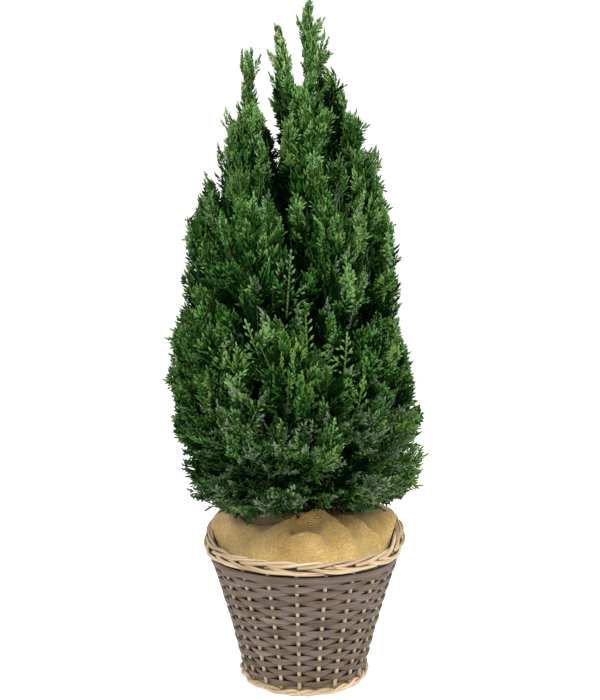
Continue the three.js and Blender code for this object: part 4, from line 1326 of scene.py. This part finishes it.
def frond(place, style, rng):
    """A flat twig of scale leaves: an arching axis, branchlets on alternate sides, some of them forked again.

    Returns the branchlets as arrays of base, direction, face, curl, length, width and place on the twig.
    """
    length, heading, rise = place["length"], place["heading"], place["rise"]
    bend = style["bend"]
    axis_point = twig_way(place, bend)
    third = np.cross(heading, rise)
    face_up, face_aside = np.dot(place["face"], rise), np.dot(place["face"], third)

    def axis_frame(s):
        arc = bend * s[:, None]
        ahead = np.cos(arc) * heading + np.sin(arc) * rise
        normal = face_up * (np.cos(arc) * rise - np.sin(arc) * heading) + face_aside * third
        return ahead, normal

    leaf_step = LEAF_STEP * style["step"]
    count = max(int(length / leaf_step), FEWEST_LEAVES)
    jitter = rng.uniform(-STEP_JITTER, STEP_JITTER, count)
    s = np.clip((np.arange(count) + FIRST_LEAF + jitter) / count, 0, LAST_LEAF)
    ahead, normal = axis_frame(s)
    across = np.cross(ahead, normal)
    base = axis_point(s)
    hand = np.where(np.arange(count) % 2 == 0, 1.0, -1.0)[:, None]
    off = rng.uniform(-OPEN_JITTER, OPEN_JITTER, count)
    angle = np.radians(style["open"] - OPEN_LESS * s + off)[:, None]
    lift = rng.normal(0, style["tuft"], count)[:, None]
    side = unit(np.cos(angle) * ahead + hand * np.sin(angle) * across + lift * normal)
    forked = (rng.random(count) < FORK_CHANCE * style["fork"]) & (s < FORK_END)
    grown = np.clip(LEAF_GROWTH[0] + LEAF_GROWTH[1] * s, 0, 1)
    finger = style["leaf"] * LEAF_LENGTH * grown * (1 - s) ** LEAF_TAPER
    fork = np.maximum(length * FORK_SHARE * (1 - s) ** FORK_TAPER, finger * FORK_LEAST)
    size = np.where(forked, fork, finger) * rng.uniform(*LEAF_SIZES, count)
    side_normal = rows_square_to(normal, side)
    side_across = np.cross(side, side_normal)
    most = int(np.ceil(size.max() / leaf_step)) + 1
    k = np.arange(most)[None, :]
    place_on = (k + 1.0 + rng.uniform(-STEP_JITTER, STEP_JITTER, (count, most))) * leaf_step
    used = forked[:, None] & (place_on < size[:, None] - LEAF_LENGTH / 4)
    t = np.clip(place_on / size[:, None], 0, 1)[..., None]
    droop = style["droop"] * size[:, None, None] * t ** 2
    leaf_base = base[:, None] + side[:, None] * place_on[..., None] - side_normal[:, None] * droop
    leaf_hand = np.where((k + (np.arange(count) % 2)[:, None]) % 2 == 0, 1.0, -1.0)[..., None]
    leaf_off = rng.uniform(-FORK_OPEN_JITTER, FORK_OPEN_JITTER, t.shape)
    leaf_angle = np.radians(style["leaf_open"] - FORK_OPEN_LESS * t + leaf_off)
    leaf_lift = rng.normal(0, style["tuft"], t.shape) - 2 * style["droop"] * t
    leaf = (np.cos(leaf_angle) * side[:, None] + leaf_hand * np.sin(leaf_angle) * side_across[:, None]
            + leaf_lift * side_normal[:, None])
    leaf_face = np.broadcast_to(side_normal[:, None], leaf.shape)
    leaf_size = style["leaf"] * FORK_LEAF * LEAF_LENGTH * (1 - FORK_LEAF_TAPER * t[..., 0])
    leaf_size = leaf_size * rng.uniform(*FORK_LEAF_SIZES, used.shape)

    end, end_normal = axis_frame(TIP_LEAVES)
    bases = [leaf_base[used], base, axis_point(TIP_LEAVES)]
    heads = [leaf[used], side - side_normal * style["droop"], end]
    faces = [leaf_face[used], side_normal, end_normal]
    curls = [np.broadcast_to(side[:, None], leaf.shape)[used], ahead, end]
    sizes = [leaf_size[used], size, np.full(len(TIP_LEAVES), LEAF_LENGTH * TIP_LEAF)]
    widths = [np.full(len(row), style["width"] * LEAF_WIDTH) for row in sizes]
    on_twig = np.broadcast_to(s[:, None] + FORK_PLACE * t[..., 0], used.shape)
    places = [on_twig[used], s, TIP_LEAVES]
    if style["clothed"]:
        scales = np.arange(0, SCALE_END, SCALE_STEP / length)
        stem, stem_normal = axis_frame(scales)
        long, wide = (np.full(len(scales), measure) for measure in SCALE_SIZE)
        for turned_to in (stem_normal, np.cross(stem, stem_normal)):
            scale_rows = (axis_point(scales), stem, turned_to, stem, long, wide, np.ones(len(scales)))
            for rows, new in zip((bases, heads, faces, curls, sizes, widths, places), scale_rows):
                rows.append(new)
    return [np.concatenate(rows) for rows in (bases, heads, faces, curls, sizes, widths, places)]


def inner_blades(shoot, rng):
    """The old sprays close round a stem, deep in the shade: each one is a single blade, which is given
    painted shade, lighter high up.
    """
    line, foot_share = shoot["line"], shoot["foot"]
    count = int(INNER_BLADES * shoot["girth"] * line.length * (1 - foot_share) / 1000)
    share = rng.uniform(*INNER_SHARES, count)
    where = foot_share + (1 - foot_share) * share
    along = line.along(where)
    radial = rows_square_to(rng.normal(size=(count, 3)), along)
    reach = INNER_REACH * shoot["girth"] * plume_shape(share, shoot["rise"], shoot["taper"])
    base = line.at(where) + radial * (reach * rng.uniform(*INNER_STANDS, count))[:, None]
    lean = radial * rng.uniform(*INNER_LEAN, count)[:, None]
    heads = unit(along * INNER_RISE + lean + INNER_STRAY[0] * rng.normal(size=(count, 3)))
    faces = unit(radial + INNER_STRAY[1] * rng.normal(size=(count, 3)))
    sizes = np.clip(reach * INNER_SIZE, *INNER_LENGTHS) * rng.uniform(*INNER_SIZES, count)
    seen = ~before_sky(base + heads * sizes[:, None] / 2)
    return [row[seen] for row in (base, heads, faces, along, sizes, sizes * shoot.get("blade", INNER_WIDTH))]


# A branchlet's outline, from its base round the tip, and its crest: share of the length, share of the width,
# lift and curl
LEAF_OUTLINE = np.array([
    [0.0, 0.0, 0.0, 0.0], [0.74, 0.5, 0.3, 0.45], [1.0, 0.0, -0.8, 1.0], [0.74, -0.5, 0.3, 0.45],
    [0.5, 0.0, 1.0, 0.15],
])
LEAF_TRIANGLES = np.array([[i, (i + 1) % 4, 4] for i in range(4)])


def leaf_shapes(base, head, face, curl, size, width, rng):
    """Every branchlet as a slim finger with a raised crest, its tip hooked and curled up along the twig."""
    head = unit(head)
    face = rows_square_to(face, head)
    across = np.cross(face, head)
    short = np.minimum(size, LEAF_LENGTH)
    arch = rng.uniform(0.0, LEAF_HOOK, size.shape) * short
    curl = curl * (rng.uniform(*LEAF_CURL, size.shape) * short)[:, None]
    ahead, aside, lift, bent = LEAF_OUTLINE.T[:, None, :, None]
    points = (base[:, None] + ahead * (size[:, None] * head)[:, None]
              + aside * (width[:, None] * across)[:, None]
              + lift * (arch[:, None] * face)[:, None] + bent * curl[:, None])
    points[:, -1] += LEAF_THICKNESS * width[:, None] * face
    first = np.arange(len(base))[:, None, None] * len(LEAF_OUTLINE)
    return points.reshape(-1, 3), (LEAF_TRIANGLES[None] + first).reshape(-1, 3)


# How often each shade is dealt out, by the part of the crown. The leaders' light greens are their young
# colour and also painted light shining through them; high is painted light, left painted shade on that side,
# inside painted shade
SHADE_SHARES = {
    "leader": {MIDDLE: 0.7, BRIGHT: 4, OLIVE: 1.5, YOUNG: 6.5},
    "spray": {MIDDLE: 3, BRIGHT: 3, GREY: 2},
    "sprig": {BRIGHT: 4, OLIVE: 3, MIDDLE: 2, GREY: 1},
    "high": {DARK: 2.5, MIDDLE: 5, BRIGHT: 4.5, OLIVE: 1, GREY: 1},
    "middle": {DEEP: 0.7, DARK: 4.5, MIDDLE: 4, BRIGHT: 2, OLIVE: 1.2, GREY: 1.2},
    "young": {GREY: 3, BLOOM: 1, BRIGHT: 3, MIDDLE: 1},
    "left": {DEEP: 3, DARK: 6.5, MIDDLE: 2.8, BRIGHT: 0.7, OLIVE: 0.8, GREY: 0.8},
    "edge": {DARK: 2.5, MIDDLE: 4, BRIGHT: 3, OLIVE: 2.5},
    "low_front": {DARK: 1.2, GREY: 6, BLOOM: 2.2, MIDDLE: 1, OLIVE: 0.3},
    "inside": {SHADOW: 3, DEEP: 2},
}


def crown_part(tier, root):
    if tier == "leader" and root[2] > LEADERS_FOOT:
        return "leader"
    if crown_depth(root) > (INSIDE_DEPTH if root[2] > LOW_CROWN else LOW_INSIDE_DEPTH):
        return "inside"
    if root[2] > HIGH_CROWN:
        return "high"
    if root[2] < LOW_CROWN and root[1] < LOW_FRONT[0] and abs(root[0]) < LOW_FRONT[1]:
        return "low_front"
    if root[0] < SHADED_LEFT_SIDE:
        return "left"
    if root[0] > RIGHT_EDGE:
        return "edge"
    return "middle"


# How the sprays are built: the usual ones, and what is different by the part of the crown. open and leaf_open
# are the angles of branchlets on a twig and on its side sprays, in degrees. The others are shares.
USUAL_BEND = (0.3, 1.0)
USUAL_STYLE = dict(open=46.0, leaf_open=38.0, tuft=0.22, droop=0.03, leaf=1.0, width=1.0, fork=1.0, step=1.0,
                   clothed=False)
BENDS = {"leader": (0.1, 0.5), "low_front": (-0.5, 0.8), "edge": (-0.3, 0.5), "left": (-0.3, 0.5)}
EDGE_STYLE = dict(open=52.0, leaf_open=42.0, droop=0.05, leaf=1.1, width=1.15)
STYLES = {
    "leader": dict(open=34.0, leaf_open=28.0, leaf=0.8, fork=0.6),
    "spray": dict(bend=0.05, open=38.0, leaf=0.9, fork=0.5),
    "sprig": dict(bend=-0.15, open=58.0, leaf_open=44.0, tuft=0.3, droop=0.08, leaf=1.05, width=1.2, fork=1.8,
                  step=2.1, clothed=True),
    "low_front": dict(open=52.0, leaf_open=44.0, tuft=0.45, droop=0.10, leaf=0.8),
    "edge": EDGE_STYLE,
    "left": EDGE_STYLE,
    "young": dict(open=54.0, leaf_open=46.0, tuft=0.4, leaf=0.9, width=1.5),
}


def frond_style(part, rng):
    style = dict(USUAL_STYLE, bend=rng.uniform(*USUAL_BEND))
    style.update(STYLES.get(part, {}))
    if part in BENDS:
        style["bend"] = rng.uniform(*BENDS[part])
    return style


def dealt_shade(part, rng):
    weights = SHADE_SHARES[part]
    chance = np.array(list(weights.values()), float)
    return rng.choice(list(weights), p=chance / chance.sum())


def stem_shape(shoot, start, root_radius, grid):
    """The stem of a shoot, which ends where the photo shows sky."""
    sides, steps = grid
    share = np.linspace(start, STEM_END, STEM_TESTS)
    hidden = before_sky(shoot["line"].at(share))
    end = max(share[hidden.argmax()], start + SHORTEST_STEM) if hidden.any() else STEM_END
    share = np.linspace(start, end, steps)
    girth = np.interp(share, [start, 1], [root_radius, STEM_TIP_RADIUS])
    return swept(shoot["line"].at(share), shoot["side"], round_section(sides)[None] * girth[:, None, None])


def fits(place, style, free, ceiling):
    """Shortens a twig until it keeps within the crown and off the sky. False where it gets too short."""
    while True:
        points = twig_way(place, style["bend"])(TWIG_TESTS)
        inside = free or not outside_crown(points[2:]).any()
        if inside and points[-1, 2] < ceiling and not before_sky(points).any():
            return True
        place["length"] *= TWIG_SHORTER
        if place["length"] < SHORTEST_TWIG:
            return False


def twig_shades(shade, on_twig, rng):
    """A shade for each branchlet of a twig: painted shade a step darker near its foot, and now and then a
    step off.
    """
    shades = np.where(on_twig > OUTER_SHARE, shade, DARKER[shade])
    chance = rng.random(len(shades))
    shades = np.where(chance < DARKER_CHANCE, DARKER[shades], shades)
    return np.where(chance > 1 - LIGHTER_CHANCE, LIGHTER[shades], shades)


def twig_axis(place, style, grid, radii, side):
    """The thin stem that carries the branchlets of a twig."""
    sides, steps = grid
    axis = twig_way(place, style["bend"])(np.linspace(0, TWIG_END, steps))
    section = round_section(sides)[None] * np.linspace(*radii, steps)[:, None, None]
    return swept(axis, side, section)


def grow(shoot, lengths, tier, rng):
    """The fronds of one shoot. Returns rows of branchlets, their shades and the twigs that carry them."""
    leaves, shades, axes = [], [], []
    count = shoot["twigs"]
    leader = shoot.get("tier") == "leader"
    places = [tip_place(shoot)] + [twig_place(shoot, index, count, rng) for index in range(count)]
    if leader:
        sprays = LEADER_SPRAYS[shoot["name"].removesuffix("_leader")]
        places += [spray_place(shoot, *spray) for spray in sprays]
    usual = dealt_shade(crown_part(tier, shoot["line"].at(SHADE_PLACE)), rng)
    narrow_from, narrow_by = LEADER_TIP
    for place in places:
        last = place["share"] == 1
        if not last:
            place["length"] *= rng.uniform(*lengths)
        if leader and not last:
            place["length"] *= 1 - narrow_by * eased((place["share"] - narrow_from) / (1 - narrow_from))
        part = "spray" if place.get("fixed") else crown_part(tier, place["root"])
        if shoot.get("young") and part != "inside":
            part = "young"
        style = frond_style(part, rng)
        ceiling = shoot["line"].at(1)[2] - LEAF_LENGTH / 2 if leader and not last else math.inf
        ceiling = shoot.get("ceiling", ceiling)
        free = shoot.get("free", shoot["outward"] is None)
        if part != "spray" and not fits(place, style, free, ceiling):
            continue
        *made, on_twig = frond(place, style, rng)
        same = LOW_SAME_SHADE if part == "low_front" else SAME_SHADE
        steady = part not in ("inside", "spray")
        shade = usual if rng.random() < same and steady else dealt_shade(part, rng)
        leaves.append(made)
        shades.append(twig_shades(shade, on_twig, rng))
        axes.append(twig_axis(place, style, TWIG_GRID, TWIG_RADII, place["face"]))
    return leaves, shades, axes


def grow_sides(grown, sides, lengths, tier, radius, grid, rng):
    """Adds side shoots and their stems to what has grown."""
    for side in sides:
        for rows, new in zip(grown, grow(side, lengths, tier, rng)):
            rows.extend(new)
        grown[-1].append(stem_shape(side, 0, radius, grid))


def plume(shoot, rng):
    """One plume: its stem, upright side shoots, twigs by the rule, and the branchlets that they carry."""
    name, tier = shoot["name"], shoot["tier"]
    lengths = LEADER_TWIG_LENGTHS if tier == "leader" else TWIG_LENGTHS
    grown = grow(shoot, lengths, tier, rng)
    sides = [side_shoot(shoot, index, rng) for index in range(shoot["side_shoots"])]
    sides = [side for side in sides if not hides_sky(side["line"])]
    for route in EDGE_SHOOTS.get(name.removesuffix("_leader"), []):
        sides.append(edge_shoot(shoot, *route))
    grow_sides(grown, sides, SHOOT_TWIG_LENGTHS, tier, SHOOT_RADIUS, SHOOT_STEM_GRID, rng)
    leaves, shades, axes = grown
    inside = inner_blades(shoot, rng)
    leaves.append(inside)
    height = inside[0][:, 2]
    # Painted shade on the inner blades: the shadow green low down, lighter in the high crown, and painted
    # light among the leaders alone
    shades.append(np.select([height > LEADERS_ALONE, height > HIGH_CROWN], [MIDDLE, DEEP], SHADOW))
    add_leaves(name, leaves, shades, axes, [f"foliage_{name}"], rng)
    start = 0 if shoot["outward"] is not None and not shoot["bough"] else shoot["foot"]
    stem = stem_shape(shoot, start, BOUGH_TIP_RADIUS, STEM_GRID)
    add_piece(f"stem_{name}", stem, [OLIVE_STEM], "bark")


def add_leaves(name, leaves, shades, axes, nodes, rng):
    rows = [np.concatenate(column) for column in zip(*leaves)]
    own = np.concatenate(shades)
    # Painted shade on the foot of each branchlet and painted highlight towards its tip
    foot, tip = DARKER[own], LIGHTER[own]
    shade_rows = np.stack([foot, tip, own, foot], -1).ravel()
    add_piece(f"leaves_{name}", leaf_shapes(*rows, rng), SHADES, "foliage", nodes, shades=shade_rows)
    add_piece(f"twigs_{name}", joined(axes), [GREEN_TWIG], "bark")


def crown_point(across, height, depth, side):
    """A point at a depth within the crown's outline, on its front for side -1 and on its back for 1."""
    middle, limit = envelope_at(height)
    radius = limit - depth
    return np.array([across, side * math.sqrt(max(radius ** 2 - (across - middle) ** 2, 0)), height])


def sprig_places(rng):
    """Young shoots that stand out of the crown: in front where the photo shows them, behind spread evenly."""
    ways = [(foot, tip, -1) for foot, tip in FRONT_SPRIGS]
    for index in range(BACK_SPRIGS):
        across = CROWN_DRIFT + SPRIG_SPREAD * (2 * ((index + 0.5) * GOLDEN_SHARE % 1) - 1)
        height = rng.uniform(*SPRIG_HEIGHTS)
        tip = (across + SPRIG_LEAN * rng.uniform(-1, 1), height + rng.uniform(*SPRIG_LENGTHS))
        ways.append(((across, height), tip, 1))
    places = []
    for foot, tip, side in ways:
        root = crown_point(*foot, SPRIG_DEPTHS[0], side)
        way = crown_point(*tip, SPRIG_DEPTHS[1], side) - root
        heading = unit(way)
        face = square_to(root - (CROWN_DRIFT, 0, foot[1]), heading)
        length = float(np.linalg.norm(way))
        places.append(dict(root=root, heading=heading, face=face, rise=face, length=length))
    return places


def sprigs(rng):
    leaves, shades, axes = [], [], []
    for place in sprig_places(rng):
        style = frond_style("sprig", rng)
        *made, on_twig = frond(place, style, rng)
        leaves.append(made)
        shades.append(twig_shades(dealt_shade("sprig", rng), on_twig, rng))
        across = np.cross(place["face"], place["heading"])
        axes.append(twig_axis(place, style, SPRIG_GRID, SPRIG_RADII, across))
    add_leaves("sprigs", leaves, shades, axes, [], rng)


def foliage(shoots):
    rng = np.random.default_rng(LEAF_SEED)
    for shoot in shoots:
        plume(shoot, rng)
    heart = inner_blades(dict(line=trunk_line, girth=HEART_GIRTH, blade=HEART_BLADE, **HEART_SHAPE), rng)
    # The sprays along the trunk all get the shadow green, painted shade
    grown = ([heart], [np.full(len(heart[0]), SHADOW)], [])
    for number, band in enumerate(SHOOT_BANDS):
        sides = trunk_shoots(band, rng)
        grow_sides(grown, sides, TRUNK_TWIG_LENGTHS, "trunk", 2 * SHOOT_RADIUS, TRUNK_SHOOT_GRID, rng)
        add_leaves(f"trunk_shoots_{number + 1}", *grown, [], rng)
        grown = ([], [], [])
    sprigs(rng)


# Stage


def stage():
    radius, thickness = FLOOR_SIZE
    disc = swept([(0, 0, -thickness), (0, 0, 0)], (1, 0, 0), round_section(FLOOR_SIDES) * radius)
    floor = make_mesh("floor", *disc, [floor_material()])
    floor.data.polygons.foreach_set("use_smooth", np.zeros(len(floor.data.polygons), bool))
    scene = bpy.context.scene
    world = bpy.data.worlds.new("studio")
    scene.world = world
    world.use_nodes = True
    tree = world.node_tree
    sky = tree.nodes["Background"]
    sky.inputs["Color"].default_value = (*WHITE, 1.0)
    direction = tree.nodes.new("ShaderNodeTexCoord")
    parts = tree.nodes.new("ShaderNodeSeparateXYZ")
    tree.links.new(direction.outputs["Generated"], parts.inputs["Vector"])
    backdrop = node(tree, "ShaderNodeMapRange")
    for socket, value in zip(("From Min", "From Max", "To Min", "To Max"), STUDIO_LIGHT):
        backdrop.inputs[socket].default_value = value
    tree.links.new(parts.outputs["Y"], backdrop.inputs["Value"])
    tree.links.new(backdrop.outputs["Result"], sky.inputs["Strength"])
    for name, (place, size, power) in LAMPS.items():
        lamp = bpy.data.lights.new(name, "AREA")
        lamp.size = size
        lamp.energy = power
        made = bpy.data.objects.new(name, lamp)
        scene.collection.objects.link(made)
        made.location = place
        aim = LAMP_AIM - np.array(place)
        tilt = math.atan2(math.hypot(aim[0], aim[1]), -aim[2])
        made.rotation_euler = (tilt, 0, math.atan2(-aim[0], aim[1]))
    camera = bpy.data.cameras.new("camera")
    camera.sensor_width = SENSOR
    camera.lens = FOCAL_PIXELS * SENSOR / PHOTO_HEIGHT
    camera.shift_y = -HORIZON_ABOVE_MIDDLE / PHOTO_HEIGHT
    eye = bpy.data.objects.new("camera", camera)
    scene.collection.objects.link(eye)
    eye.location = [value * MM for value in EYE]
    eye.rotation_euler = (math.pi / 2, 0, 0)
    scene.camera = eye
    scene.view_settings.view_transform = "Standard"


shoots = all_shoots()
stage()
basket()
jute_cloth()
trunk_and_boughs(shoots)
foliage(shoots)
